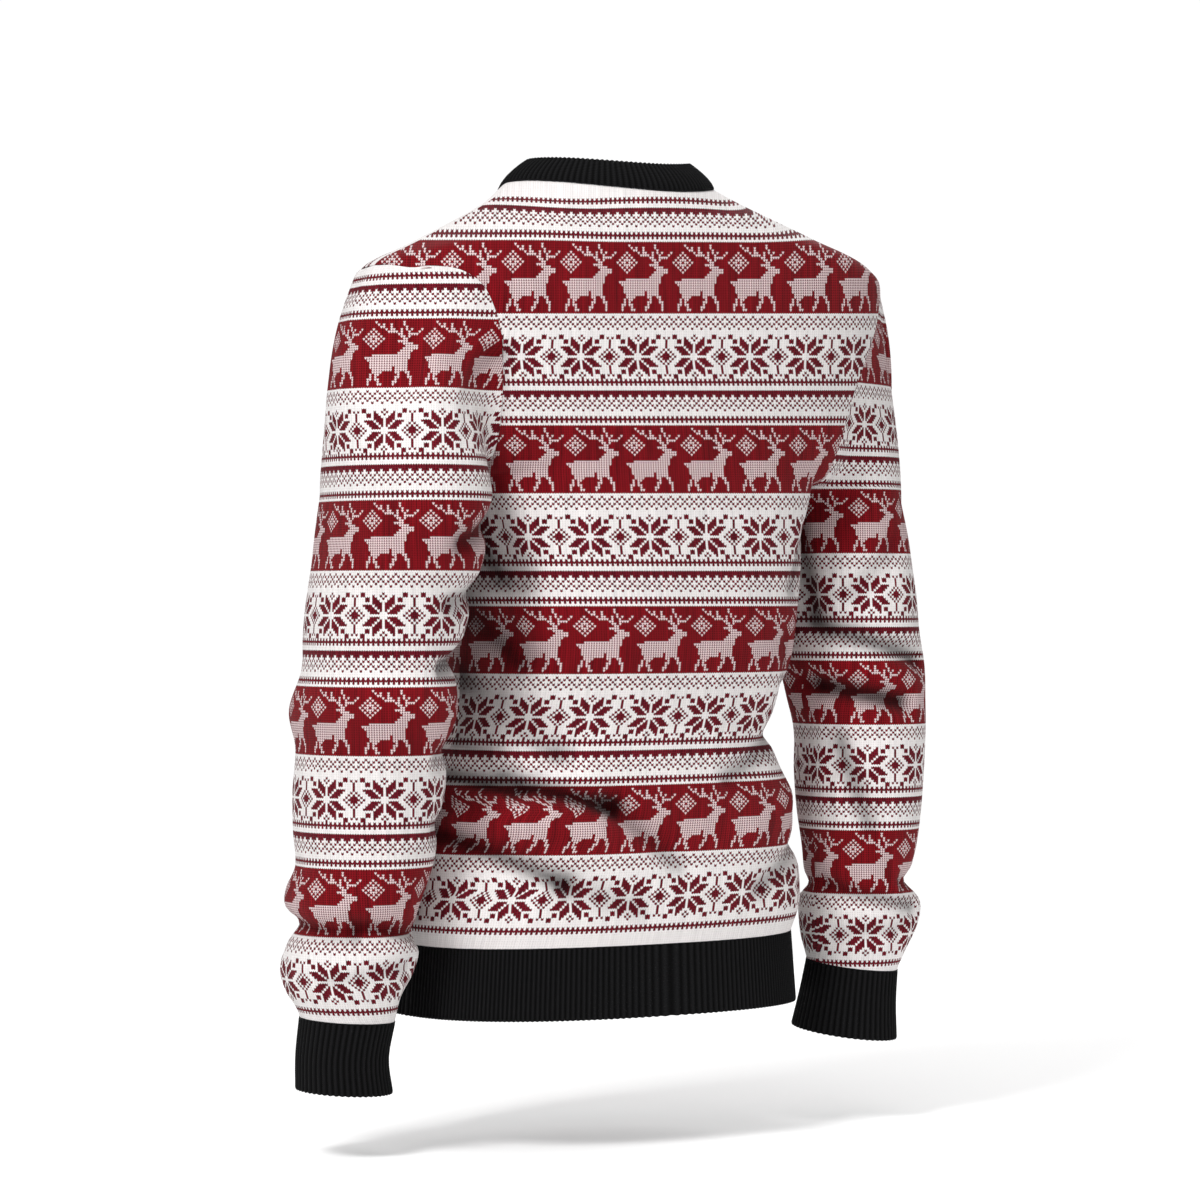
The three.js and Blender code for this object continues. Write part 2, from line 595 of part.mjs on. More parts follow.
function cuff(table, tilt, side) {
  const top = table[0];
  const last = table[table.length - 1];
  return ribbedBand(CUFF_RIBS, 2, (turn, t) => {
    const ring = section(table, "z", top.z + (last.z - top.z) * t);
    const dx = side * Math.cos(turn) * ring.out;
    const dy = Math.sin(turn) * ring.deep;
    return new THREE.Vector3(ring.x + dx, ring.y + dy, ring.z + tilt.x * dx + tilt.y * dy);
  }, new THREE.Vector3(top.x, top.y, (top.z + last.z) / 2));
}

function piece(name, geometry, color, roughness) {
  const material = new THREE.MeshStandardMaterial({ color, roughness, metalness: 0 });
  const mesh = new THREE.Mesh(geometry, material);
  mesh.name = name;
  return mesh;
}

const sweater = new THREE.Group();
sweater.name = "christmas_sweater";
sweater.add(
  piece("back_panel", panel(1, BACK_COLUMNS), WHITE_YARN, 0.92),
  piece("front_panel", panel(-1, FRONT_COLUMNS), WHITE_YARN, 0.92),
  piece("left_sleeve", sleeve(LEFT_SLEEVE, LEFT_FOLDS, LEFT_TILT, 1), RED_YARN, 0.92),
  piece("right_sleeve", sleeve(RIGHT_SLEEVE, RIGHT_FOLDS, RIGHT_TILT, -1), RED_YARN, 0.92),
  piece("neck_rib", collar(), BLACK_YARN, 0.95),
  piece("hem_rib", hemBand(), BLACK_YARN, 0.95),
  piece("left_cuff", cuff(LEFT_CUFF, LEFT_TILT, 1), BLACK_YARN, 0.95),
  piece("right_cuff", cuff(RIGHT_CUFF, RIGHT_TILT, -1), BLACK_YARN, 0.95),
);

export default sweater;
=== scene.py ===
"""Knitted round-neck pullover in its worn shape, with no wearer in it.

Metres, +Z up. The wearer faces -Y and the wearer's left is +X. The measured tables are in
millimetres. Four knitted panels carry red and white bands, and four black ribbed bands
finish the neck, hem and wrists.
"""

from __future__ import annotations

import logging
import math
from dataclasses import dataclass, replace
from enum import Enum

import bpy
import numpy as np
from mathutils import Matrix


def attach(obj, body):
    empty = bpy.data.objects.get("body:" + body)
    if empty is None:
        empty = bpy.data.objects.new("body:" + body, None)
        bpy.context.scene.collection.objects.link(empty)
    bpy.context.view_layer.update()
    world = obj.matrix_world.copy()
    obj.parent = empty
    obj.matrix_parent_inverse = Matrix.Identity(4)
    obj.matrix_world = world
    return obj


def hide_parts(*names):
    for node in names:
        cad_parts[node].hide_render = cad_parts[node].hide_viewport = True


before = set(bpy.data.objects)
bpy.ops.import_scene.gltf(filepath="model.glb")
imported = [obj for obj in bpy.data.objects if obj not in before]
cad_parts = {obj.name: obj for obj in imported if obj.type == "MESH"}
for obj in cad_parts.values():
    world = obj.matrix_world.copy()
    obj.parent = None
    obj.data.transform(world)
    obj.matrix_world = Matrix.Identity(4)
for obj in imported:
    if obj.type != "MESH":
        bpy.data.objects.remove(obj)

LOG = logging.getLogger("pullover")
MM = 0.001
WALL = 2.0
SEAM_GAP = 0.3
# Crease depth in millimetres at which the painted fold shadow is full.
DEEP_FOLD = 11.0
STITCH_WIDE = 2.0625
ROW_TALL = 1.94
REPEAT = 24
Colour = tuple[float, float, float, float]

NECK_ROW = 0.0
TIP_ROW = 5.0
YOKE_ROW = 8.0
UNDERARM_ROW = 18.0
HEM_ROW = 33.0

VIEW_ANGLE = math.radians(33.0)
TO_CAMERA = np.array([math.sin(VIEW_ANGLE), math.cos(VIEW_ANGLE), 0.0])
PICTURE_RIGHT = np.array([-math.cos(VIEW_ANGLE), math.sin(VIEW_ANGLE), 0.0])


class Side(Enum):
    """Side of the wearer, with its sign along X."""

    LEFT = 1
    RIGHT = -1


class Face(Enum):
    """Panel of the body, with its sign along Y."""

    BACK = 1
    FRONT = -1


# Measured forms


@dataclass(frozen=True)
class RingTable:
    """Measured rings of a tube of cloth, read as smooth curves between them."""

    columns: tuple[str, ...]
    rows: tuple[tuple[float, ...], ...]

    def at(self, column: str, place: np.ndarray) -> np.ndarray:
        """Value of a column at places along the first column.

        Args:
            column: Name of the column.
            place: Places along the first column.

        Returns:
            One value for each place, on a smooth curve through the rows.
        """
        table = np.array(self.rows, dtype=float)
        table = table[np.argsort(table[:, 0])]
        keys = table[:, 0]
        values = table[:, self.columns.index(column)]
        slopes = np.empty_like(values)
        slopes[1:-1] = (values[2:] - values[:-2]) / (keys[2:] - keys[:-2])
        slopes[0] = (values[1] - values[0]) / (keys[1] - keys[0])
        slopes[-1] = (values[-1] - values[-2]) / (keys[-1] - keys[-2])
        place = np.asarray(place, dtype=float)
        k = np.clip(np.searchsorted(keys, place, side="right") - 1, 0, len(keys) - 2)
        span = keys[k + 1] - keys[k]
        t = np.clip((place - keys[k]) / span, 0.0, 1.0)
        low = (2 * t**3 - 3 * t**2 + 1) * values[k] + (t**3 - 2 * t**2 + t) * span * slopes[k]
        high = (3 * t**2 - 2 * t**3) * values[k + 1] + (t**3 - t**2) * span * slopes[k + 1]
        return low + high


BODY = RingTable(
    ("row", "left_z", "right_z", "back_z", "front_z", "half", "back", "front", "x", "y", "round"),
    (
        (0, 4, 7, -5, -65, 95.5, 83, 83, -8, -20, 2),
        (1, -15, -5, -15, -74, 121, 85, 93, -8, -14, 2),
        (3, -51, -38, -29, -92, 196, 86, 112, -10, -2, 2.1),
        (5, -74, -64, -45, -106, 245, 91, 121, -13, 5, 2.3),
        (8, -112, -104, -96, -146, 247, 101, 124, -14, 5, 2.45),
        (11, -160, -160, -138, -178, 236, 106, 124, -14, 5, 2.5),
        (14, -206, -206, -180, -208, 208, 108, 122, -14, 5, 2.5),
        (16, -232, -232, -208, -228, 186, 108, 120, -13, 6, 2.5),
        (18, -246, -250, -236, -248, 170, 108, 118, -12, 6, 2.5),
        (19, -262, -264, -262, -266, 167, 108, 118, -12, 6, 2.5),
        (22, -346, -346, -346, -346, 156, 106, 118, -9, 6, 2.5),
        (24, -402, -402, -402, -402, 154.5, 104, 120, -6, 1, 2.5),
        (26, -452, -452, -452, -452, 147, 102, 122, -2, -9, 2.4),
        (27, -476, -476, -476, -476, 155, 105, 122, -1, -14, 2.4),
        (28, -500, -500, -500, -500, 168, 112, 124, 0, -18, 2.4),
        (30, -548, -548, -548, -548, 180, 120, 126, 0, -25, 2.5),
        (32, -606, -602, -604, -604, 187, 123, 127, 0, -28, 2.5),
        (33, -631, -629, -630, -630, 178, 119, 122, 0, -28, 2.5),
    ),
)

ARMHOLE = RingTable(
    ("row", "left_x", "left_z", "right_x", "right_z", "front_drop"),
    (
        (5, 232, -74, -258, -64, 0),
        (6, 222, -78, -256, -71, 5),
        (7, 209, -77, -250, -82, 12),
        (8, 191, -80, -242, -96, 18),
        (9, 176, -91, -232, -112, 20),
        (10, 167, -109, -220, -130, 18),
        (11, 161, -132, -207, -149, 15),
        (12, 158, -156, -197, -168, 12),
        (13, 157, -180, -190, -187, 9),
        (14, 157, -202, -186, -206, 6),
        (15, 157, -221, -183, -222, 3),
        (16, 157.5, -235, -181, -237, 1),
        (17, 158, -243, -181, -246, 0),
        (18, 158, -246, -182, -250, 0),
    ),
)

ARM_COLUMNS = ("z", "x", "y", "out", "deep")
LEFT_ARM = RingTable(
    ARM_COLUMNS,
    (
        (-262, 223, 40, 63, 86),
        (-290, 226, 39, 64, 86),
        (-318, 228, 34, 64, 82),
        (-346, 231, 28, 64, 77),
        (-374, 235, 25, 62, 74),
        (-402, 238, 23, 60, 70),
        (-435, 243, 22, 64, 79),
        (-465, 241, 17, 60, 70),
        (-500, 240, 10, 60, 67),
        (-532, 240, 6, 58, 64),
        (-562, 240, 2, 54, 61),
        (-580, 246, -1, 55, 61),
        (-596, 248, -4, 53, 58),
        (-611, 244, -5, 48, 51),
        (-626, 245, -6, 53, 57),
        (-647, 250, -9, 53, 58),
        (-666, 251, -12, 46, 49),
        (-680, 247, -14, 40, 43),
        (-687, 246, -15, 38, 41),
    ),
)
RIGHT_ARM = RingTable(
    ARM_COLUMNS,
    (
        (-262, -240, -18, 57, 78),
        (-290, -239, -10, 60, 78),
        (-318, -239, -3, 61, 76),
        (-346, -238, 5, 62, 74),
        (-374, -238, 11, 61, 72),
        (-402, -240, 18, 60, 70),
        (-430, -240, 23, 58, 67),
        (-458, -242, 27, 55, 62),
        (-495, -242, 26, 54, 61),
        (-528, -242, 26, 52, 58),
        (-558, -243, 25, 48, 54),
        (-576, -243, 23, 46, 50),
        (-588, -243, 21, 45, 49),
        (-608, -247, 20, 51, 57),
        (-626, -247, 18, 50, 55),
        (-644, -245, 15, 45, 49),
        (-656, -245, 13, 41, 44),
        (-664, -245, 12, 38.5, 41.5),
    ),
)
LEFT_WRIST = RingTable(
    ARM_COLUMNS,
    ((-687.4, 246, -15, 37.5, 40.5), (-718, 249, -18, 36.5, 39), (-746, 246, -20, 38.5, 40)),
)
RIGHT_WRIST = RingTable(
    ARM_COLUMNS,
    ((-664.4, -245, 12, 38, 41), (-692, -242, 10, 39.5, 44), (-723, -240, 7, 43, 49)),
)


@dataclass(frozen=True)
class Crease:
    """Soft trough or ridge along a line, hollow where its depth is negative.

    On the body a place is (x, z). On a sleeve it is (degrees round the arm, z).
    """

    start: tuple[float, float]
    end: tuple[float, float]
    wide: float
    depth: float

    def height(self, across: np.ndarray, up: np.ndarray, scale: float = 1.0) -> np.ndarray:
        """Height of the crease at points of the cloth.

        Args:
            across: First coordinate of each point.
            up: Height Z of each point.
            scale: Millimetres for each unit of the first coordinate.

        Returns:
            Push along the cloth's normal, in millimetres.
        """
        ax, bx = self.start[0] * scale, self.end[0] * scale
        az, bz = self.start[1], self.end[1]
        px = across * scale
        dx, dz = bx - ax, bz - az
        t = np.clip(((px - ax) * dx + (up - az) * dz) / (dx * dx + dz * dz), 0.0, 1.0)
        gap = np.hypot(px - ax - t * dx, up - az - t * dz)
        return self.depth * np.exp(-((gap / self.wide) ** 2))


BACK_CREASES = (
    Crease((176, -384), (96, -474), 13, -9),
    Crease((166, -440), (134, -484), 10, -9),
    Crease((176, -486), (132, -500), 9, -12),
    Crease((124, -498), (52, -516), 9, -12),
    Crease((60, -512), (-8, -566), 10, -7),
    Crease((178, -536), (96, -578), 10, -10),
    Crease((92, -582), (30, -600), 13, -5),
    Crease((164, -412), (104, -458), 10, 4),
    Crease((172, -470), (66, -494), 10, 5),
    Crease((160, -520), (70, -540), 12, 6),
    Crease((-150, -452), (-62, -496), 11, -7),
    Crease((-176, -548), (-96, -588), 11, -7),
    Crease((-166, -508), (-90, -540), 13, 4),
    Crease((160, -150), (164, -256), 8, -9),
    Crease((166, -252), (134, -330), 11, -11),
    Crease((160, -330), (126, -398), 11, -10),
    Crease((158, -380), (148, -440), 10, -6),
    Crease((-172, -262), (-132, -336), 12, -7),
    Crease((-126, -380), (-148, -440), 12, -4),
)
FRONT_CREASES = (
    Crease((150, -400), (60, -470), 20, -6),
    Crease((-150, -410), (-70, -486), 20, -6),
    Crease((165, -520), (60, -578), 20, -5),
    Crease((-165, -530), (-50, -570), 20, -5),
    Crease((160, -256), (90, -200), 18, -4),
    Crease((-168, -258), (-96, -205), 18, -4),
)
LEFT_ARM_CREASES = (
    Crease((180, -272), (100, -300), 11, -9),
    Crease((185, -330), (105, -348), 11, -8),
    Crease((185, -384), (115, -400), 11, -10),
    Crease((190, -458), (120, -472), 12, -6),
    Crease((186, -520), (130, -530), 12, -5),
    Crease((60, -606), (160, -620), 8, -7),
    Crease((-40, -604), (60, -616), 8, -6),
    Crease((40, -652), (120, -640), 8, -4),
    Crease((200, -604), (300, -612), 8, -6),
    Crease((300, -420), (220, -400), 14, -8),
    Crease((310, -470), (230, -450), 14, -8),
)
RIGHT_ARM_CREASES = (
    Crease((166, -268), (156, -350), 12, -9),
    Crease((160, -366), (60, -398), 11, -10),
    Crease((170, -418), (85, -434), 10, -12),
    Crease((150, -470), (120, -540), 12, -8),
    Crease((120, -340), (80, -300), 12, -5),
    Crease((170, -592), (60, -612), 8, -8),
    Crease((70, -592), (-30, -588), 8, -6),
    Crease((150, -636), (80, -628), 8, -4),
    Crease((200, -592), (300, -600), 8, -6),
    Crease((300, -405), (220, -385), 14, -8),
    Crease((310, -450), (230, -430), 14, -8),
)


def smooth(low: float, high: float, value: np.ndarray) -> np.ndarray:
    """Rises smoothly from 0 at low to 1 at high."""
    t = np.clip((value - low) / (high - low), 0.0, 1.0)
    return t * t * (3 - 2 * t)


def unit(vectors: np.ndarray) -> np.ndarray:
    """Vectors at length 1, along the last axis."""
    return vectors / np.maximum(np.linalg.norm(vectors, axis=-1, keepdims=True), 1e-12)


def grid_normals(grid: np.ndarray, wrap: bool) -> np.ndarray:
    """Normals of a grid of points.

    Args:
        grid: Points, rows by columns by 3.
        wrap: Whether the last column joins the first.

    Returns:
        Unit normals, pointing out for rows that run down and columns that run to the right.
    """
    down = np.gradient(grid, axis=0)
    if wrap:
        right = np.roll(grid, -1, axis=1) - np.roll(grid, 1, axis=1)
    else:
        right = np.gradient(grid, axis=1)
    return unit(np.cross(down, right))


def hollow_share(push: np.ndarray) -> np.ndarray:
    """Share of full fold shadow, 0 to 1, for pushes along the normal."""
    return np.clip(-push / DEEP_FOLD, 0.0, 1.0)


class BodyForm:
    """Outer face of the body, from the neck seam to the hem seam."""

    TURN_STEP = 0.02
    ROW_STEP = 0.12
    SIDE_FADE = 3
    HEM_SEAM_Z = -631
    HEM_FADE = 30

    @staticmethod
    def ring_point(turn: np.ndarray, row: np.ndarray, face: Face) -> np.ndarray:
        """Point of a plain ring.

        Args:
            turn: Angle from the wearer's left side, 0 to pi, on either face.
            row: Row of the body.
            face: Back or front.

        Returns:
            Points in millimetres.
        """
        turn, row = np.broadcast_arrays(turn, row)
        c, s = np.cos(turn), np.abs(np.sin(turn))
        power = 2 / BODY.at("round", row)
        side_z = np.where(c > 0, BODY.at("left_z", row), BODY.at("right_z", row))
        face_z = BODY.at("back_z" if face is Face.BACK else "front_z", row)
        deep = BODY.at("back" if face is Face.BACK else "front", row)
        x = BODY.at("x", row) + BODY.at("half", row) * np.sign(c) * np.abs(c) ** power
        y = BODY.at("y", row) + face.value * deep * s**power
        return np.stack([x, y, face_z + (side_z - face_z) * c * c], axis=-1)

    @classmethod
    def normal(cls, turn: np.ndarray, row: np.ndarray, face: Face) -> np.ndarray:
        """Outward normals of the plain rings."""
        turn, row = np.broadcast_arrays(turn, row)
        step = cls.TURN_STEP
        a = cls.signed_point(turn + step, row, face) - cls.signed_point(turn - step, row, face)
        high = np.minimum(row + cls.ROW_STEP, HEM_ROW)
        low = np.maximum(row - cls.ROW_STEP, NECK_ROW)
        b = cls.signed_point(turn, high, face) - cls.signed_point(turn, low, face)
        return unit(np.cross(b, a)) * face.value

    @classmethod
    def signed_point(cls, turn: np.ndarray, row: np.ndarray, face: Face) -> np.ndarray:
        """Ring point whose turn may run past a side seam onto the other face."""
        other = Face.FRONT if face is Face.BACK else Face.BACK
        past = (np.sin(turn) < 0)[..., None]
        return np.where(past, cls.ring_point(turn, row, other), cls.ring_point(turn, row, face))

    @staticmethod
    def edge_turn(row: np.ndarray, side: Side) -> np.ndarray:
        """Turn at which a row ends at the armhole seam, 0 where it ends at the side seam."""
        name = "left_x" if side is Side.LEFT else "right_x"
        x = ARMHOLE.at(name, np.clip(row, TIP_ROW, UNDERARM_ROW))
        reach = np.clip(np.abs(x - BODY.at("x", row)) / BODY.at("half", row), 0.0, 1.0)
        turn = np.arccos(reach ** (BODY.at("round", row) / 2))
        return np.where((row <= TIP_ROW) | (row >= UNDERARM_ROW), 0.0, turn)

    @classmethod
    def outer(cls, turn: np.ndarray, row: np.ndarray, face: Face) -> np.ndarray:
        """Outer face with its rows drawn to the armhole seams and its creases pressed in.

        Args:
            turn: Angle from the wearer's left side, 0 to pi.
            row: Row of the body.
            face: Back or front.

        Returns:
            Points in millimetres.
        """
        turn, row = np.broadcast_arrays(turn, row)
        point = cls.ring_point(turn, row, face)
        for side in Side:
            here = (np.cos(turn) * side.value > 0) & (row > TIP_ROW) & (row < UNDERARM_ROW)
            edge = cls.edge_turn(row, side)
            last = edge if side is Side.LEFT else math.pi - edge
            end = cls.ring_point(last, row, face)
            place = np.clip(row, TIP_ROW, UNDERARM_ROW)
            seam_z = ARMHOLE.at("left_z" if side is Side.LEFT else "right_z", place)
            if face is Face.FRONT:
                seam_z = seam_z - ARMHOLE.at("front_drop", place)
            share = np.minimum((np.cos(turn) / np.cos(last)) ** 2, 1.0)
            point[..., 2] += np.where(here, (seam_z - end[..., 2]) * share, 0.0)
        above_hem = np.clip((point[..., 2] - cls.HEM_SEAM_Z) / cls.HEM_FADE, 0, 1)
        fade = np.minimum(1.0, np.abs(np.sin(turn)) * cls.SIDE_FADE) * above_hem
        push = cls.push(point, face)
        return point + (fade * push)[..., None] * cls.normal(turn, row, face)

    @staticmethod
    def push(points: np.ndarray, face: Face) -> np.ndarray:
        """Push of all the creases of a face, in millimetres along the normal."""
        total = np.zeros(points.shape[:-1])
        for crease in BACK_CREASES if face is Face.BACK else FRONT_CREASES:
            total += crease.height(points[..., 0], points[..., 2])
        return total


@dataclass(frozen=True)
class ArmForm:
    """Outer face of a sleeve, from its armhole seam to its cuff seam."""

    side: Side
    rings: RingTable
    creases: tuple[Crease, ...]
    slope: tuple[float, float, float, float]
    picture_x: float
    seen_turns: tuple[float, float]
    degree_wide: float = 1.1
    cuff_fade: float = 24

    def point(self, turn: np.ndarray, z: np.ndarray) -> np.ndarray:
        """Point below the cap.

        Args:
            turn: Angle round the arm, 0 outside, a quarter turn at the back.
            z: Height of the ring.

        Returns:
            Points in millimetres.
        """
        turn, z = np.broadcast_arrays(turn, z)
        rise_x, rise_y, start, end = self.slope
        lean = np.clip((z - start) / (end - start), 0.0, 1.0)
        push = self.push(turn, z)
        dx = self.side.value * np.cos(turn) * (self.rings.at("out", z) + push)
        dy = np.sin(turn) * (self.rings.at("deep", z) + push)
        x, y = self.rings.at("x", z) + dx, self.rings.at("y", z) + dy
        return np.stack([x, y, z + lean * (rise_x * dx + rise_y * dy)], axis=-1)

    def push(self, turn: np.ndarray, z: np.ndarray) -> np.ndarray:
        """Push of all the creases of the sleeve, in millimetres."""
        total = np.zeros(turn.shape)
        for crease in self.creases:
            for lap in (-360.0, 0.0, 360.0):
                total += crease.height(np.degrees(turn) + lap, z, self.degree_wide)
        return total * np.clip((z - self.rings.rows[-1][0]) / self.cuff_fade, 0.0, 1.0)


LEFT_FORM = ArmForm(
    Side.LEFT, LEFT_ARM, LEFT_ARM_CREASES, (0.04, -0.03, -600, -687), -176.5, (-0.7, 2.4),
)
RIGHT_FORM = ArmForm(
    Side.RIGHT, RIGHT_ARM, RIGHT_ARM_CREASES, (0.08, -0.09, -590, -664), 180.0, (0.75, 3.1),
)


# Knitting chart


DEER_ROWS = (
    "........................",
    ".....o..........o.......",
    "......o.o..o....o.......",
    ".......oo..o.....o......",
    "....o....o.oo..o.o.o...o",
    "...o.o....oooo.o..o...o.",
    "..o.o.o.......oo..oooo..",
    ".o.ooo.o.......oo.o.....",
    "o.oo.oo.o.......oo......",
    ".o.ooo.o......oooo......",
    "..o.o.o.........oooo....",
    "...o.o...........ooooo..",
    "....o...........oooooo..",
    "...............ooooo....",
    "..............ooooo.....",
    "....ooooooooooooooo.....",
    ".oooooooooooooooooo.....",
    "..oooooooooooooooo......",
    "...ooooooooooooooo......",
    "...ooooooooooooooo......",
    "...ooooooooo.ooooo......",
    "....oooooooo.ooooo......",
    "....oooo.....oo..oo.....",
    "...o.oo.......o...o.....",
    "...o.o.......oo...oo....",
    "..oo.oo......o.....o....",
    "..o...o.....oo.....o....",
    "..o...oo....o......o....",
    "........................",
)
DOT_ROWS = (
    "........................",
    "..x...x...x...x...x...x.",
    ".x.x.x.x.x.x.x.x.x.x.x.x",
    "x...x...x...x...x...x...",
    ".x.x.x.x.x.x.x.x.x.x.x.x",
    "..x...x...x...x...x...x.",
    "x...x...x...x...x...x...",
    "........................",
    "........................",
)
STAR_ROWS = (
    "xx.......x.......xx.....",
    "xx...x..x.x..x...xx.x.x.",
    "..xx.xx..x..xx.xx....x..",
    "..xx.xxx...xxx.xx....x..",
    ".....xxxx.xxxx.......x..",
    ".xxxx.xxx.xxx.xxxx...x..",
    "..xxxx.xx.xx.xxxx...x.x.",
    "...xxxx.x.x.xxxx...x.x.x",
    "x...xxxx...xxxx...x.xxx.",
    ".x...............x.xxxxx",
    "x...xxxx...xxxx...x.xxx.",
    "...xxxx.x.x.xxxx...x.x.x",
    "..xxxx.xx.xx.xxxx...x.x.",
    ".xxxx.xxx.xxx.xxxx...x..",
    ".....xxxx.xxxx.......x..",
    "..xx.xxx...xxx.xx....x..",
    "..xx.xx..x..xx.xx....x..",
    "xx...x..x.x..x...xx.x.x.",
    "xx.......x.......xx.....",
)
TAIL_ROWS = (
    ".x.x.x.x.x.x.x.x.x.x.x.x",
    "xxxxxxxxxxxxxxxxxxxxxxxx",
    ".x.x.x.x.x.x.x.x.x.x.x.x",
    "........................",
    "........................",
    "xxxxxxxxxxxxxxxxxxxxxxxx",
    "xxxxxxxxxxxxxxxxxxxxxxxx",
    ".xxx.xxx.xxx.xxx.xxx.xxx",
    "..x...x...x...x...x...x.",
    ".x.x.x.x.x.x.x.x.x.x.x.x",
    "x...x...x...x...x...x...",
    ".x.x.x.x.x.x.x.x.x.x.x.x",
    "..x...x...x...x...x...x.",
    "x...x...x...x...x...x...",
    "........................",
    "........................",
    ".x.x.x.x.x.x.x.x.x.x.x.x",
    "xxxxxxxxxxxxxxxxxxxxxxxx",
    ".x.x.x.x.x.x.x.x.x.x.x.x",
    "........................",
)


@dataclass(frozen=True)
class Chart:
    """Knitting chart, one repeat high and wide, read by shader nodes."""

    deer: tuple[str, ...] = DEER_ROWS
    dots: tuple[str, ...] = DOT_ROWS
    stars: tuple[str, ...] = STAR_ROWS
    tail: tuple[str, ...] = TAIL_ROWS

    def masks(self) -> list[tuple[int, int, int]]:
        """Three masks of eight stitches for each row, with a bit set for a red stitch."""
        rows = [[mark == "." for mark in row] for row in self.deer]
        for block in (self.dots, self.stars, self.tail):
            rows += [[mark == "x" for mark in row] for row in block]
        return [
            tuple(sum(1 << k for k in range(8) if row[8 * part + k]) for part in range(3))
            for row in rows
        ]

# Places of the pattern: pairs of a height Z and a knitted row, or of a place across and a stitch
BODY_HEIGHTS = (
    (60, -54), (-4.8, -20.5), (-49.2, 0), (-110, 29), (-202, 77), (-351, 154),
    (-498, 231), (-554, 260), (-632, 300),
)
LEFT_HEIGHTS = (
    (-40, -42), (-82, -20), (-120, 0), (-177, 29), (-267, 77), (-415, 154), (-561, 231), (-690, 298),
)
RIGHT_LIFT = 17
RIGHT_HEIGHTS = tuple((z + RIGHT_LIFT, count) for z, count in LEFT_HEIGHTS)
BACK_PITCHES = ((-200, 2.08), (-100, 2.12), (-50, 2.25), (0, 2.3), (50, 2.45), (100, 2.68))
BACK_DRIFT = (
    (-631, 12), (-590, 18), (-526, 28), (-446, 34), (-380, 28),
    (-298, 13.5), (-230, 9), (-150, -1.5), (-80, 5),
)
FRONT_PITCHES = ((0, 2.15),)
FRONT_DRIFT = ((0, 0),)


# Shader nodes and finishes


class NodeSheet:
    """Short calls for laying out the nodes of one material."""

    def __init__(self, tree: bpy.types.NodeTree) -> None:
        """Keeps the tree that the nodes go in."""
        self.tree = tree

    def node(self, kind: str, **settings: object) -> bpy.types.Node:
        """New node with its settings."""
        made = self.tree.nodes.new(kind)
        for name, value in settings.items():
            setattr(made, name, value)
        return made

    def feed(self, socket: bpy.types.NodeSocket, value: object) -> None:
        """Links an output to a socket, or sets the socket to a plain value."""
        if isinstance(value, bpy.types.NodeSocket):
            self.tree.links.new(value, socket)
        else:
            socket.default_value = value

    def math(self, operation: str, *values: object) -> bpy.types.NodeSocket:
        """Result of a Math node."""
        made = self.node("ShaderNodeMath", operation=operation)
        for socket, value in zip(made.inputs, values):
            self.feed(socket, value)
        return made.outputs[0]

    def mix(self, share: object, low: object, high: object) -> bpy.types.NodeSocket:
        """Colour between two colours."""
        made = self.node("ShaderNodeMix", data_type="RGBA")
        self.feed(made.inputs["Factor"], share)
        self.feed(made.inputs[6], low)
        self.feed(made.inputs[7], high)
        return made.outputs[2]

    def noise(self, vector: bpy.types.NodeSocket, scale: float, detail: float) -> bpy.types.NodeSocket:
        """Noise value, 0 to 1, at a place."""
        made = self.node("ShaderNodeTexNoise")
        self.feed(made.inputs["Vector"], vector)
        made.inputs["Scale"].default_value = scale
        made.inputs["Detail"].default_value = detail
        return made.outputs["Fac"]

    def vector(self, x: object, y: object, z: object = 0.0) -> bpy.types.NodeSocket:
        """Vector from three numbers."""
        made = self.node("ShaderNodeCombineXYZ")
        for socket, value in zip(made.inputs, (x, y, z)):
            self.feed(socket, value)
        return made.outputs[0]


def new_material(name: str) -> tuple[bpy.types.Material, NodeSheet, bpy.types.Node]:
    """Empty node material with its shader.

    Args:
        name: Name of the material.

    Returns:
        The material, its node sheet and its Principled shader.
    """
    material = bpy.data.materials.new(name)
    material.use_nodes = True
    sheet = NodeSheet(material.node_tree)
    return material, sheet, material.node_tree.nodes["Principled BSDF"]


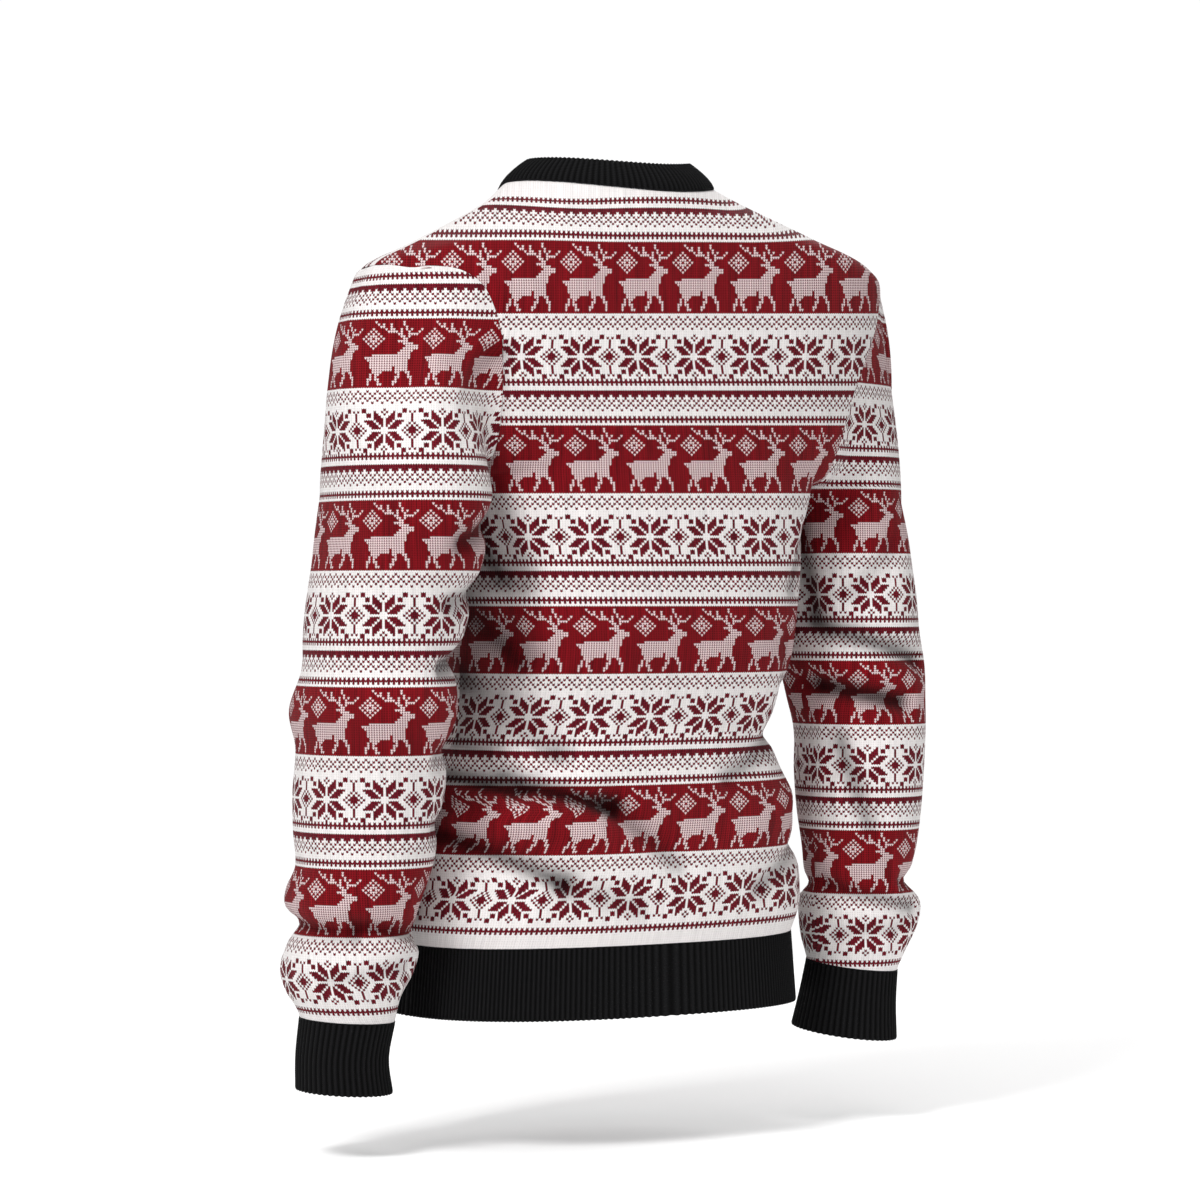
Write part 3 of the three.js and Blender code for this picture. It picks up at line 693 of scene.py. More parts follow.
@dataclass(frozen=True)
class BandedKnit:
    """Jersey knitted in red and white bands after the chart, one V for each stitch, with painted shade between
    the stitches and painted fold shadow in the crease troughs.
    """

    # The gap colours are painted shade between the V stitches. The deer gap is red yarn between the white deer
    # stitches, darkened by painted shade.
    white: Colour = (0.86, 0.83, 0.82, 1.0)
    white_gap_shade: Colour = (0.50, 0.44, 0.44, 1.0)
    deer_white: Colour = (0.88, 0.72, 0.72, 1.0)
    deer_gap: Colour = (0.11, 0.016, 0.024, 1.0)
    red: Colour = (0.235, 0.0035, 0.0085, 1.0)
    red_gap_shade: Colour = (0.055, 0.0008, 0.002, 1.0)
    # motif_red is the same red yarn as red, made darker as painted shade around the lone stitches of the
    # motifs.
    motif_red: Colour = (0.165, 0.007, 0.016, 1.0)
    motif_gap_shade: Colour = (0.035, 0.0015, 0.004, 1.0)
    vee: float = 0.42
    # Strength of the painted fold shadow in the base colour.
    fold_shadow: float = 0.82
    first_row: float = -20.0
    last_deer_end: float = 288.0
    last_shift: float = 14.0
    last_row: float = 293.0

    def build(self, name: str) -> bpy.types.Material:
        """Material that reads the stitch map of a panel.

        Args:
            name: Name of the material.

        Returns:
            The material.
        """
        material, n, shader = new_material(name)
        where = n.node("ShaderNodeUVMap", uv_map="stitches").outputs[0]
        apart = n.node("ShaderNodeSeparateXYZ")
        n.feed(apart.inputs[0], where)
        u, v = apart.outputs[0], apart.outputs[1]
        arm = n.math("ABSOLUTE", n.math("SUBTRACT", n.math("FRACT", u), 0.5))
        vee_v = n.math("ADD", v, n.math("MULTIPLY_ADD", arm, 2 * self.vee, -self.vee / 2))
        inside = n.math("GREATER_THAN", vee_v, self.first_row)
        late = n.math("GREATER_THAN", vee_v, self.last_deer_end)
        inside = n.math("MULTIPLY", inside, n.math("LESS_THAN", vee_v, self.last_row))
        chart_v = n.math("MULTIPLY_ADD", late, self.last_shift, vee_v)
        rows = Chart().masks()
        row = n.math("FLOORED_MODULO", n.math("FLOOR", chart_v), float(len(rows)))
        column = n.math("FLOORED_MODULO", n.math("FLOOR", u), float(REPEAT))
        ink = n.math("MULTIPLY", self.stitch_bit(n, rows, row, column), inside)
        in_deer = n.math("MULTIPLY", n.math("LESS_THAN", row, len(DEER_ROWS) - 0.5), inside)

        place = n.node("ShaderNodeTexCoord").outputs["Object"]
        wale = n.noise(n.vector(n.math("MULTIPLY", u, 0.8), n.math("MULTIPLY", v, 0.03)), 1.0, 3.0)
        fuzz = n.noise(place, 900.0, 2.0)
        mottle = n.noise(place, 60.0, 3.0)
        legs = n.math("ABSOLUTE", n.math("SINE", n.math("MULTIPLY", u, 2 * math.pi)))
        turn = n.math("MULTIPLY", n.math("FRACT", vee_v), 2 * math.pi)
        loops = n.math("MULTIPLY_ADD", n.math("COSINE", turn), -0.5, 0.5)
        rise = n.math("MULTIPLY", n.math("POWER", legs, 0.6), n.math("MULTIPLY_ADD", loops, 0.6, 0.4))
        edge = n.math("POWER", n.math("MULTIPLY", arm, 2.0), 2.0)
        course = n.math("SUBTRACT", 1.0, loops)
        corner = n.math("MULTIPLY", edge, course)
        # Painted shade: gap darkens the sides of each V and the line between courses, where the stitches shade
        # each other.
        gap = n.math("MULTIPLY_ADD", n.math("ADD", edge, course), 0.28, n.math("MULTIPLY", corner, 1.0))
        pale_gap = n.math("MULTIPLY", gap, n.math("MULTIPLY_ADD", in_deer, 0.95, 0.35))
        pale_yarn = n.mix(in_deer, self.white, self.deer_white)
        pale = n.mix(pale_gap, pale_yarn, n.mix(in_deer, self.white_gap_shade, self.deer_gap))
        deep_yarn = n.mix(in_deer, self.motif_red, self.red)
        deep = n.mix(gap, deep_yarn, n.mix(in_deer, self.motif_gap_shade, self.red_gap_shade))
        colour = n.mix(ink, pale, deep)
        streak = n.math("MULTIPLY_ADD", ink, 1.5, 0.35)
        tone = n.math("MULTIPLY_ADD", n.math("SUBTRACT", wale, 0.5), streak, 1.0)
        tone = n.math("ADD", tone, n.math("MULTIPLY_ADD", fuzz, 0.24, -0.12))
        tone = n.math("ADD", tone, n.math("MULTIPLY_ADD", mottle, 0.12, -0.06))
        # Painted shade: the base colour darkens where the hollow attribute marks a crease trough, standing in
        # for the shadow in the folds.
        fold = n.node("ShaderNodeAttribute", attribute_name="hollow").outputs["Fac"]
        shadow = n.math("MULTIPLY_ADD", n.math("POWER", fold, 1.4), -self.fold_shadow, 1.0)
        tone = n.math("MULTIPLY", tone, shadow)
        gain = n.node("ShaderNodeVectorMath", operation="SCALE")
        n.feed(gain.inputs[0], colour)
        n.feed(gain.inputs["Scale"], tone)
        n.feed(shader.inputs["Base Color"], gain.outputs[0])
        n.feed(shader.inputs["Roughness"], n.math("MULTIPLY_ADD", fuzz, 0.1, 0.84))
        shader.inputs["Sheen Weight"].default_value = 0.04
        shader.inputs["Sheen Roughness"].default_value = 0.5
        shader.inputs["Specular IOR Level"].default_value = 0.1
        bump = n.node("ShaderNodeBump")
        bump.inputs["Strength"].default_value = 0.55
        bump.inputs["Distance"].default_value = 0.0006
        n.feed(bump.inputs["Height"], n.math("ADD", rise, n.math("MULTIPLY", wale, 1.2)))
        n.feed(shader.inputs["Normal"], bump.outputs[0])
        return material

    @staticmethod
    def stitch_bit(n: NodeSheet, rows: list[tuple[int, int, int]],
                   row: bpy.types.NodeSocket, column: bpy.types.NodeSocket) -> bpy.types.NodeSocket:
        """Looks one stitch of the chart up.

        Args:
            n: Node sheet of the material.
            rows: Masks of the chart's rows.
            row: Row number.
            column: Column number.

        Returns:
            1 where the stitch is red.
        """
        steps = 32
        part = n.math("FLOOR", n.math("DIVIDE", column, 8.0))
        bit = n.math("SUBTRACT", column, n.math("MULTIPLY", part, 8.0))
        mask: object = 0.0
        for start in range(0, len(rows), steps):
            block = rows[start:start + steps]
            ramp = n.node("ShaderNodeValToRGB")
            ramp.color_ramp.interpolation = "CONSTANT"
            stops = ramp.color_ramp.elements
            stops.remove(stops[1])
            for k, masks in enumerate(block):
                stop = stops[0] if k == 0 else stops.new(k / steps)
                stop.position = k / steps
                stop.color = (*(value / 255 for value in masks), 1.0)
            n.feed(ramp.inputs[0], n.math("DIVIDE", n.math("SUBTRACT", row, start - 0.5), float(steps)))
            split = n.node("ShaderNodeSeparateColor")
            n.feed(split.inputs[0], ramp.outputs[0])
            here = n.math("MULTIPLY", n.math("GREATER_THAN", row, start - 0.5),
                          n.math("LESS_THAN", row, start + steps - 0.5))
            for k in range(3):
                chosen = n.math("MULTIPLY", n.math("COMPARE", part, float(k), 0.25), here)
                mask = n.math("MULTIPLY_ADD", split.outputs[k], chosen, mask)
        whole = n.math("ROUND", n.math("MULTIPLY", mask, 255.0))
        power = n.math("ROUND", n.math("POWER", 2.0, bit))
        shifted = n.math("FLOOR", n.math("DIVIDE", n.math("ADD", whole, 0.01), power))
        return n.math("GREATER_THAN", n.math("FLOORED_MODULO", shifted, 2.0), 0.5)


@dataclass(frozen=True)
class RibKnit:
    """Black ribbed knit, with small Vs along each rib, one for each course in millimetres, and painted shade
    in the furrows between the ribs.
    """

    black: Colour = (0.0085, 0.0085, 0.0092, 1.0)
    # Painted shade in the furrows between the ribs.
    furrow_shade: Colour = (0.0004, 0.0004, 0.0005, 1.0)
    course: float = 1.9

    def build(self, name: str) -> bpy.types.Material:
        """Material that reads a band's map: ribs across, millimetres down.

        Args:
            name: Name of the material.

        Returns:
            The material.
        """
        material, n, shader = new_material(name)
        where = n.node("ShaderNodeUVMap", uv_map="stitches").outputs[0]
        apart = n.node("ShaderNodeSeparateXYZ")
        n.feed(apart.inputs[0], where)
        u, v = apart.outputs[0], apart.outputs[1]
        crest = n.math("MULTIPLY_ADD", n.math("COSINE", n.math("MULTIPLY", u, 2 * math.pi)), 0.5, 0.5)
        arm = n.math("ABSOLUTE", n.math("SUBTRACT", n.math("FRACT", n.math("ADD", u, 0.5)), 0.5))
        course = n.math("ADD", n.math("DIVIDE", v, self.course), n.math("MULTIPLY", arm, 1.6))
        loops = n.math("MULTIPLY_ADD", n.math("SINE", n.math("MULTIPLY", course, 2 * math.pi)), 0.5, 0.5)
        place = n.node("ShaderNodeTexCoord").outputs["Object"]
        fuzz = n.noise(place, 800.0, 2.0)
        # Painted light and shade: the crests of the ribs take the black yarn's colour, and the furrows between
        # them a darker painted shade.
        lit = n.math("MULTIPLY", crest, n.math("MULTIPLY_ADD", fuzz, 0.6, 0.6))
        colour = n.mix(lit, self.furrow_shade, self.black)
        n.feed(shader.inputs["Base Color"], colour)
        n.feed(shader.inputs["Roughness"], n.math("MULTIPLY_ADD", fuzz, 0.12, 0.8))
        shader.inputs["Sheen Weight"].default_value = 0.01
        shader.inputs["Sheen Roughness"].default_value = 0.5
        shader.inputs["Specular IOR Level"].default_value = 0.09
        bump = n.node("ShaderNodeBump")
        bump.inputs["Strength"].default_value = 0.5
        bump.inputs["Distance"].default_value = 0.0005
        n.feed(bump.inputs["Height"], n.math("ADD", loops, fuzz))
        n.feed(shader.inputs["Normal"], bump.outputs[0])
        return material


@dataclass(frozen=True)
class SeamYarn:
    """Plain twisted yarn of the seam stitches."""

    colour: Colour = (0.007, 0.007, 0.008, 1.0)

    def build(self, name: str) -> bpy.types.Material:
        """Material of one seam's yarn.

        Args:
            name: Name of the material.

        Returns:
            The material.
        """
        material, n, shader = new_material(name)
        place = n.node("ShaderNodeTexCoord").outputs["Object"]
        fuzz = n.noise(place, 700.0, 2.0)
        dark = tuple(0.55 * value for value in self.colour[:3]) + (1.0,)
        n.feed(shader.inputs["Base Color"], n.mix(fuzz, dark, self.colour))
        n.feed(shader.inputs["Roughness"], n.math("MULTIPLY_ADD", fuzz, 0.1, 0.82))
        shader.inputs["Specular IOR Level"].default_value = 0.15
        bump = n.node("ShaderNodeBump")
        bump.inputs["Strength"].default_value = 0.4
        bump.inputs["Distance"].default_value = 0.0003
        n.feed(bump.inputs["Height"], fuzz)
        n.feed(shader.inputs["Normal"], bump.outputs[0])
        return material


# Cloth meshes


@dataclass
class ClothGrid:
    """Outer face of a piece of cloth with its inner face and its stitch map."""

    outer: np.ndarray
    inner: np.ndarray
    stitches: np.ndarray
    wrap: bool
    hollow: np.ndarray | None = None

    def mesh(self, name: str) -> bpy.types.Mesh:
        """Closed mesh in metres, with the stitch map as its UV map.

        Args:
            name: Name of the mesh.

        Returns:
            The mesh.
        """
        rows, columns = self.outer.shape[:2]
        points = np.concatenate([self.outer.reshape(-1, 3), self.inner.reshape(-1, 3)]) * MM
        layer = rows * columns
        last = columns if self.wrap else columns - 1
        r, c = np.meshgrid(np.arange(rows - 1), np.arange(last), indexing="ij")
        r, c = r.ravel(), c.ravel()
        d = (c + 1) % columns
        a, b = r * columns + c, (r + 1) * columns + c
        e, f = (r + 1) * columns + d, r * columns + d
        ua, ub = np.stack([r, c], 1), np.stack([r + 1, c], 1)
        ue, uf = np.stack([r + 1, c + 1], 1), np.stack([r, c + 1], 1)
        faces = [np.stack([a, b, e, f], 1), np.stack([a, f, e, b], 1) + layer]
        maps = [np.stack([ua, ub, ue, uf], 1), np.stack([ua, uf, ue, ub], 1)]
        for row, turned in ((0, False), (rows - 1, True)):
            k = np.arange(last)
            p, q = row * columns + k, row * columns + (k + 1) % columns
            up, uq = np.stack([k * 0 + row, k], 1), np.stack([k * 0 + row, k + 1], 1)
            ring, where = [p, q, q + layer, p + layer], [up, uq, uq, up]
            if turned:
                ring, where = ring[::-1], where[::-1]
            faces.append(np.stack(ring, 1))
            maps.append(np.stack(where, 1))
        if not self.wrap:
            for column, turned in ((0, True), (columns - 1, False)):
                k = np.arange(rows - 1)
                p, q = k * columns + column, (k + 1) * columns + column
                up, uq = np.stack([k, k * 0 + column], 1), np.stack([k + 1, k * 0 + column], 1)
                ring, where = [p, q, q + layer, p + layer], [up, uq, uq, up]
                if turned:
                    ring, where = ring[::-1], where[::-1]
                faces.append(np.stack(ring, 1))
                maps.append(np.stack(where, 1))
        quads = np.concatenate(faces)
        spots = np.concatenate(maps).reshape(-1, 2)
        mesh = bpy.data.meshes.new(name)
        mesh.from_pydata(points.tolist(), [], quads.tolist())
        layer_map = mesh.uv_layers.new(name="stitches")
        layer_map.uv.foreach_set("vector", self.stitches[spots[:, 0], spots[:, 1]].astype(np.float32).ravel())
        # The hollow attribute carries the painted fold shadow: darker colour in the crease troughs.
        if self.hollow is not None:
            depth = np.tile(self.hollow.ravel(), 2).astype(np.float32)
            mesh.attributes.new("hollow", "FLOAT", "POINT").data.foreach_set("value", depth)
        mesh.polygons.foreach_set("use_smooth", np.ones(len(quads), dtype=bool))
        mesh.set_sharp_from_angle(angle=math.radians(60))
        mesh.update()
        return mesh


def draw_in(grid: np.ndarray, wrap: bool, amount: float) -> np.ndarray:
    """Draws the edges of a grid in along its own rows and columns."""
    moved = grid.copy()
    moved[0] += unit(grid[1] - grid[0]) * amount
    moved[-1] += unit(grid[-2] - grid[-1]) * amount
    if not wrap:
        moved[:, 0] += unit(grid[:, 1] - grid[:, 0]) * amount
        moved[:, -1] += unit(grid[:, -2] - grid[:, -1]) * amount
    return moved


def add_piece(name: str, mesh: bpy.types.Mesh, material: bpy.types.Material) -> bpy.types.Object:
    """New object with its mesh and finish, at the origin."""
    piece = bpy.data.objects.new(name, mesh)
    bpy.context.scene.collection.objects.link(piece)
    if material.name not in mesh.materials:
        mesh.materials.append(material)
    return piece


def even_steps(low: float, high: float, count: int, hold: float) -> np.ndarray:
    """Even places with two more held close to each end."""
    plain = np.linspace(low, high, count)
    extra = np.array([hold, 2.4 * hold])
    return np.unique(np.concatenate([plain, low + extra, high - extra]))


@dataclass
class BodyPanel:
    """Front or back of the body."""

    face: Face
    node: str
    columns: int
    rows_per_step: int
    flat: tuple[float, float]
    area: float
    heights: tuple[tuple[float, float], ...]
    pitches: tuple[tuple[float, float], ...]
    drift: tuple[tuple[float, float], ...]
    middle_stitch: float = 11.0

    def surface(self) -> tuple[np.ndarray, np.ndarray, np.ndarray]:
        """Outer points with the turn and the row of each.

        Returns:
            Points, turns and rows, each as a grid.
        """
        count = int((HEM_ROW - NECK_ROW) * self.rows_per_step) + 1
        rows = even_steps(NECK_ROW, HEM_ROW, count, 0.06)
        share = even_steps(0.0, 1.0, self.columns + 1, 0.003)
        left = BodyForm.edge_turn(rows, Side.LEFT)
        right = math.pi - BodyForm.edge_turn(rows, Side.RIGHT)
        turn = left[:, None] + (right - left)[:, None] * share[None, :]
        row = np.broadcast_to(rows[:, None], turn.shape)
        turn = np.clip(turn, 1e-6, math.pi - 1e-6)
        return BodyForm.outer(turn, row, self.face), turn, row

    def stitch_map(self, points: np.ndarray, turn: np.ndarray, row: np.ndarray) -> np.ndarray:
        """Stitch number across and knitted row down, for each point.

        Args:
            points: Outer points.
            turn: Turn of each point; not used.
            row: Body row of each point.

        Returns:
            Stitch places, two for each point.
        """
        step = np.diff(points, axis=1)
        round_side = smooth(4.0, YOKE_ROW, row[:, 1:])
        length = np.sqrt(step[..., 0] ** 2 + round_side * step[..., 1] ** 2)
        across = np.concatenate([np.zeros((len(points), 1)), np.cumsum(length, axis=1)], axis=1)
        centre = np.array([
            np.interp(0.0, -(line[:, 0] - BODY.at("x", at)), far)
            for line, far, at in zip(points, across, row[:, 0])
        ])
        far = np.arange(-360.0, 361.0)
        pitch = np.interp(far, [place for place, _ in self.pitches], [wide for _, wide in self.pitches])
        count = np.concatenate([[0.0], np.cumsum(0.5 / pitch[1:] + 0.5 / pitch[:-1])])
        start = np.interp(points[..., 2], [z for z, _ in self.drift], [place for _, place in self.drift])
        u = np.interp(across - centre[:, None], far, count) - np.interp(start, far, count)
        seen = points @ (PICTURE_RIGHT * [1, self.face.value, 1])
        yoke = int(np.argmin(np.abs(row[:, 0] - YOKE_ROW)))
        order = np.argsort(seen[yoke])
        upright = np.interp(seen, seen[yoke][order], u[yoke][order])
        edge = seen - np.clip(seen, seen[yoke].min(), seen[yoke].max())
        if self.face is Face.BACK:
            u = np.where(row < YOKE_ROW, upright + edge / STITCH_WIDE, u)
        if self.face is Face.FRONT:
            u = -u
        yoke_y = self.yoke_depth(points[..., 0])
        inward = np.maximum(self.face.value * (yoke_y - points[..., 1]), 0.0) * (row < YOKE_ROW)
        middle = 1 - smooth(60.0, 150.0, np.abs(points[..., 0] - BODY.at("x", row)))
        height = self.picture_height(points) + 0.2 * inward * middle
        knots = sorted(self.heights)
        v = np.interp(height, [z for z, _ in knots], [count for _, count in knots])
        if self.face is Face.FRONT:
            order = np.argsort(points[yoke, :, 0])
            place = points[yoke, order, 0]
            x = points[..., 0]
            back = points[..., 1] - np.interp(x, place, points[yoke, order, 1])
            rise = points[..., 2] - np.interp(x, place, points[yoke, order, 2])
            over = np.interp(x, place, v[yoke, order]) - np.hypot(back, rise) / ROW_TALL
            v = np.where(row < YOKE_ROW, over, v)
        return np.stack([u + self.middle_stitch, v], axis=-1)

    def picture_height(self, points: np.ndarray) -> np.ndarray:
        """Heights at which the rows lie level in the picture, above the viewer's eye."""
        eye, far, middle = -346.0, 3400.0, 84.0
        depth = points @ (TO_CAMERA * [1, self.face.value, 1])
        above = points[..., 2] - eye
        return np.where(above > 0, eye + above * (far - middle) / (far - depth), points[..., 2])

    def yoke_depth(self, x: np.ndarray) -> np.ndarray:
        """Y of the yoke ring at a place along X."""
        turn = np.linspace(0.02, math.pi - 0.02, 400)
        ring = BodyForm.outer(turn, np.full_like(turn, YOKE_ROW), self.face)
        return np.interp(x, ring[::-1, 0], ring[::-1, 1])

    def build(self, finish: bpy.types.Material) -> bpy.types.Object:
        """Makes the panel and hands it to the frame.

        Args:
            finish: Material of the panel.

        Returns:
            The panel.
        """
        points, turn, row = self.surface()
        stitches = self.stitch_map(points, turn, row)
        normals = grid_normals(points, False) * self.face.value
        for column, side in ((0, Side.LEFT), (-1, Side.RIGHT)):
            joint = BodyForm.normal(turn[:, column], row[:, column], self.face)
            open_side = (row[:, column] <= TIP_ROW) | (row[:, column] >= UNDERARM_ROW)
            joint[:, 1] = np.where(open_side, 0.0, joint[:, 1])
            normals[:, column] = unit(joint)
        for line in (0, -1):
            normals[line, :, 2] = 0.0
            normals[line] = unit(normals[line])
        drawn = draw_in(points, False, SEAM_GAP / 2)
        inner = drawn - WALL * normals
        # Painted fold shadow, from how deep the creases press in.
        hollow = hollow_share(BodyForm.push(points, self.face))
        grid = ClothGrid(drawn, inner, stitches, False, hollow)
        if self.face is Face.FRONT:
            grid = ClothGrid(drawn[:, ::-1], inner[:, ::-1], stitches[:, ::-1], False, hollow[:, ::-1])
        piece = add_piece(self.node + "_knit", grid.mesh(self.node + "_knit"), finish)
        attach(piece, "root")
        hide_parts(self.node)
        LOG.info("%s: %d faces", piece.name, len(piece.data.polygons))
        return piece


@dataclass
class Sleeve:
    """One sleeve, from its armhole seam to its cuff seam."""

    form: ArmForm
    node: str
    cap_rows: int
    per_row: int
    flat: tuple[float, float]
    area: float
    heights: tuple[tuple[float, float], ...]
    deer_stitch: float = 11.0
    underarm_z: float = -205
    underarm_fade: float = 40
    cap_count: int = 0

    def under_share(self, line: np.ndarray) -> np.ndarray:
        """Share of the underarm's way out of the body, 0 to 1, at points of the seam."""
        return np.clip((self.underarm_z - line[:, 2]) / self.underarm_fade, 0, 1)[:, None]

    def seam(self) -> tuple[np.ndarray, np.ndarray]:
        """Armhole seam as a closed line: shoulder tip, back, underarm, front.

        Returns:
            Points and body normals along the seam.
        """
        side = self.form.side
        count = int((UNDERARM_ROW - TIP_ROW) * self.per_row)
        rows = np.linspace(TIP_ROW, UNDERARM_ROW, count + 1)
        runs = []
        for face, line in ((Face.BACK, rows), (Face.FRONT, rows[::-1][1:-1])):
            edge = np.maximum(BodyForm.edge_turn(line, side), 1e-6)
            turn = edge if side is Side.LEFT else math.pi - edge
            runs.append((BodyForm.outer(turn, line, face), BodyForm.normal(turn, line, face)))
        points = np.concatenate([run[0] for run in runs])
        normals = np.concatenate([run[1] for run in runs])
        return points, normals

    def surface(self) -> tuple[np.ndarray, np.ndarray, np.ndarray]:
        """Outer points from the underarm round, the turn of each column, the seam's normals."""
        seam, normals = self.seam()
        half = int((UNDERARM_ROW - TIP_ROW) * self.per_row)
        lengths = np.linalg.norm(np.roll(seam, -1, axis=0) - seam, axis=1)
        far = np.concatenate([[0.0], np.cumsum(lengths)])
        back = math.pi * far[: half + 1] / far[half]
        back[-1] = math.pi
        front = math.pi * (1 + (far[half + 1 : -1] - far[half]) / (far[-1] - far[half]))
        turns = np.concatenate([back, front])
        top = self.form.rings.rows[0][0]
        first = self.form.point(turns, np.full_like(turns, top))
        edge = unit(np.roll(seam, -1, axis=0) - np.roll(seam, 1, axis=0))
        leave = np.cross(edge, normals) * self.form.side.value
        under = self.under_share(seam)
        start = unit(leave * (1 - under) + np.array([self.form.side.value, 0, -0.3]) * under)
        reach = np.linalg.norm(first - seam, axis=1)[:, None]
        rings = []
        cap_steps = even_steps(0.0, 1.0, self.cap_rows + 1, 0.02)[:-3]
        self.cap_count = len(cap_steps)
        for t in cap_steps:
            ring = seam * (2 * t**3 - 3 * t**2 + 1) + start * (t**3 - 2 * t**2 + t) * reach
            ring = ring + first * (3 * t**2 - 2 * t**3)
            ring[:, 2] -= ((t**3 - t**2) * reach)[:, 0]
            rings.append(ring)
        low = self.form.rings.rows[-1][0]
        for z in even_steps(low, top, int((top - low) / 4) + 1, 1.5)[::-1]:
            rings.append(self.form.point(turns, np.full_like(turns, z)))
        turns = np.roll(np.where(turns >= math.pi, turns - 2 * math.pi, turns), -half)
        return np.roll(np.stack(rings), -half, axis=1), turns, np.roll(normals, -half, axis=0)

    def seen(self, turns: np.ndarray) -> np.ndarray:
        """Which turns face the photo's viewer."""
        low, high = self.form.seen_turns
        return (turns > low) & (turns < high)

    def anchor(self, line: np.ndarray, turns: np.ndarray, far: np.ndarray) -> float:
        """Arc length at which a level line meets the wale that stands upright in the picture.

        Args:
            line: Points of the level line.
            turns: Turn of each point.
            far: Arc length of each point.

        Returns:
            Arc length at that wale.
        """
        seen = self.seen(turns)
        across = line[seen] @ PICTURE_RIGHT
        order = np.argsort(across)
        return float(np.interp(self.form.picture_x, across[order], far[seen][order]))

    @staticmethod
    def ease_hidden(u: np.ndarray, heights: np.ndarray, seen: np.ndarray) -> None:
        """Stretches the unseen stitches so that both sides of the underarm run straight.

        Args:
            u: Stitch arcs below the cap, rows by columns, changed in place.
            heights: Height of each row.
            seen: Which places face the photo's viewer.
        """
        down = heights - heights[0]
        for end, first in ((0, np.argmax(seen[0])), (-1, len(seen[0]) - 1 - np.argmax(seen[0][::-1]))):
            natural = u[:, end] - u[0, end]
            straight = u[0, end] + down * np.sum(down * natural) / np.sum(down * down)
            run = slice(0, first) if end == 0 else slice(first + 1, None)
            base = u[:, first][:, None]
            stretch = (straight - u[:, first]) / (u[:, end] - u[:, first])
            u[:, run] = base + (u[:, run] - base) * stretch[:, None]

    def cap_map(self, cap: np.ndarray, turns: np.ndarray) -> np.ndarray:
        """Stitch arcs of the cap, measured along level lines.

        Args:
            cap: Rows of the cap and the first ring under it.
            turns: Turn of each column.

        Returns:
            Arc lengths from the upright wale, rows by columns plus one.
        """
        count = len(turns)
        levels = np.arange(cap[-1, :, 2].min() - 4, cap[..., 2].max(), 1.5)
        arcs = np.full((len(levels), count), np.nan)
        spots = np.zeros((len(levels), count, 2))
        falls = [np.minimum.accumulate(cap[:, c, 2]) for c in range(count)]
        for k, level in enumerate(levels):
            crossed = [c for c in range(count) if falls[c][0] >= level]
            if len(crossed) < 6:
                continue
            line = np.array([
                [np.interp(-level, -falls[c], cap[:, c, axis]) for axis in range(3)] for c in crossed
            ])
            spots[k, crossed] = line[:, :2]
            far = np.concatenate([[0.0], np.cumsum(np.hypot(*np.diff(line[:, :2], axis=0).T))])
            across = line[self.seen(turns[crossed])] @ PICTURE_RIGHT
            if len(across) and across.min() < self.form.picture_x < across.max():
                arcs[k, crossed] = self.form.side.value * (far - self.anchor(line, turns[crossed], far))
            elif k:
                same = [c for c in crossed if not np.isnan(arcs[k - 1, c])]
                middle = same[len(same) // 2]
                moved = arcs[k - 1, middle] - self.form.side.value * far[crossed.index(middle)]
                arcs[k, crossed] = self.form.side.value * far + moved
        u = np.empty((len(cap) - 1, count + 1))
        for c in range(count):
            known = ~np.isnan(arcs[:, c])
            u[:, c] = np.interp(cap[:-1, c, 2], levels[known], arcs[known, c])
            last = np.flatnonzero(known)[-2]
            reach = np.hypot(*(cap[:-1, c, :2] - spots[last, c]).T)
            near_seam = arcs[last, c] + self.form.side.value * np.sign(turns[c]) * reach
            u[:, c] = np.where(cap[:-1, c, 2] > levels[last], near_seam, u[:, c])
        u[:, -1] = u[:, -2] + (u[:, -2] - u[:, -3])
        return u

    def stitch_map(self, points: np.ndarray, turns: np.ndarray) -> np.ndarray:
        """Stitch places, with one more column where the sleeve closes on itself.

        Args:
            points: Outer points.
            turns: Turn of each column.

        Returns:
            Stitch places, rows by columns plus one by 2.
        """
        side = self.form.side.value
        fine = np.linspace(-math.pi, math.pi, 721)
        u = np.empty((len(points), len(turns) + 1))
        plain = replace(self.form, creases=())
        hidden = []
        for k, line in enumerate(points[self.cap_count :], self.cap_count):
            circle = plain.point(fine, np.full_like(fine, float(line[:, 2].mean())))
            far = np.concatenate([[0.0], np.cumsum(np.hypot(*np.diff(circle[:, :2], axis=0).T))])
            anchor = self.anchor(circle, fine, far)
            place = np.interp(np.append(turns, math.pi), fine, far)
            u[k] = side * (place - anchor)
            hidden.append(self.seen(np.append(turns, math.pi)))
        self.ease_hidden(u[self.cap_count :], points[self.cap_count :, :, 2].mean(axis=1), np.array(hidden))
        u[: self.cap_count] = self.cap_map(points[: self.cap_count + 1], turns)
        u = u / STITCH_WIDE + self.deer_stitch
        knots = sorted(self.heights)
        v = np.interp(points[..., 2], [z for z, _ in knots], [count for _, count in knots])
        return np.stack([u, np.concatenate([v, v[:, :1]], axis=1)], axis=-1)

    def build(self, finish: bpy.types.Material) -> bpy.types.Object:
        """Makes the sleeve and hands it to the frame.

        Args:
            finish: Material of the sleeve.

        Returns:
            The sleeve.
        """
        points, turns, seam_normals = self.surface()
        stitches = self.stitch_map(points, turns)
        normals = grid_normals(points, True) * self.form.side.value
        under = self.under_share(points[0])
        normals[0] = unit(seam_normals * (1 - under) + normals[0] * under)
        normals[-1, :, 2] = 0.0
        normals[-1] = unit(normals[-1])
        drawn = draw_in(points, True, SEAM_GAP / 2)
        inner = drawn - WALL * normals
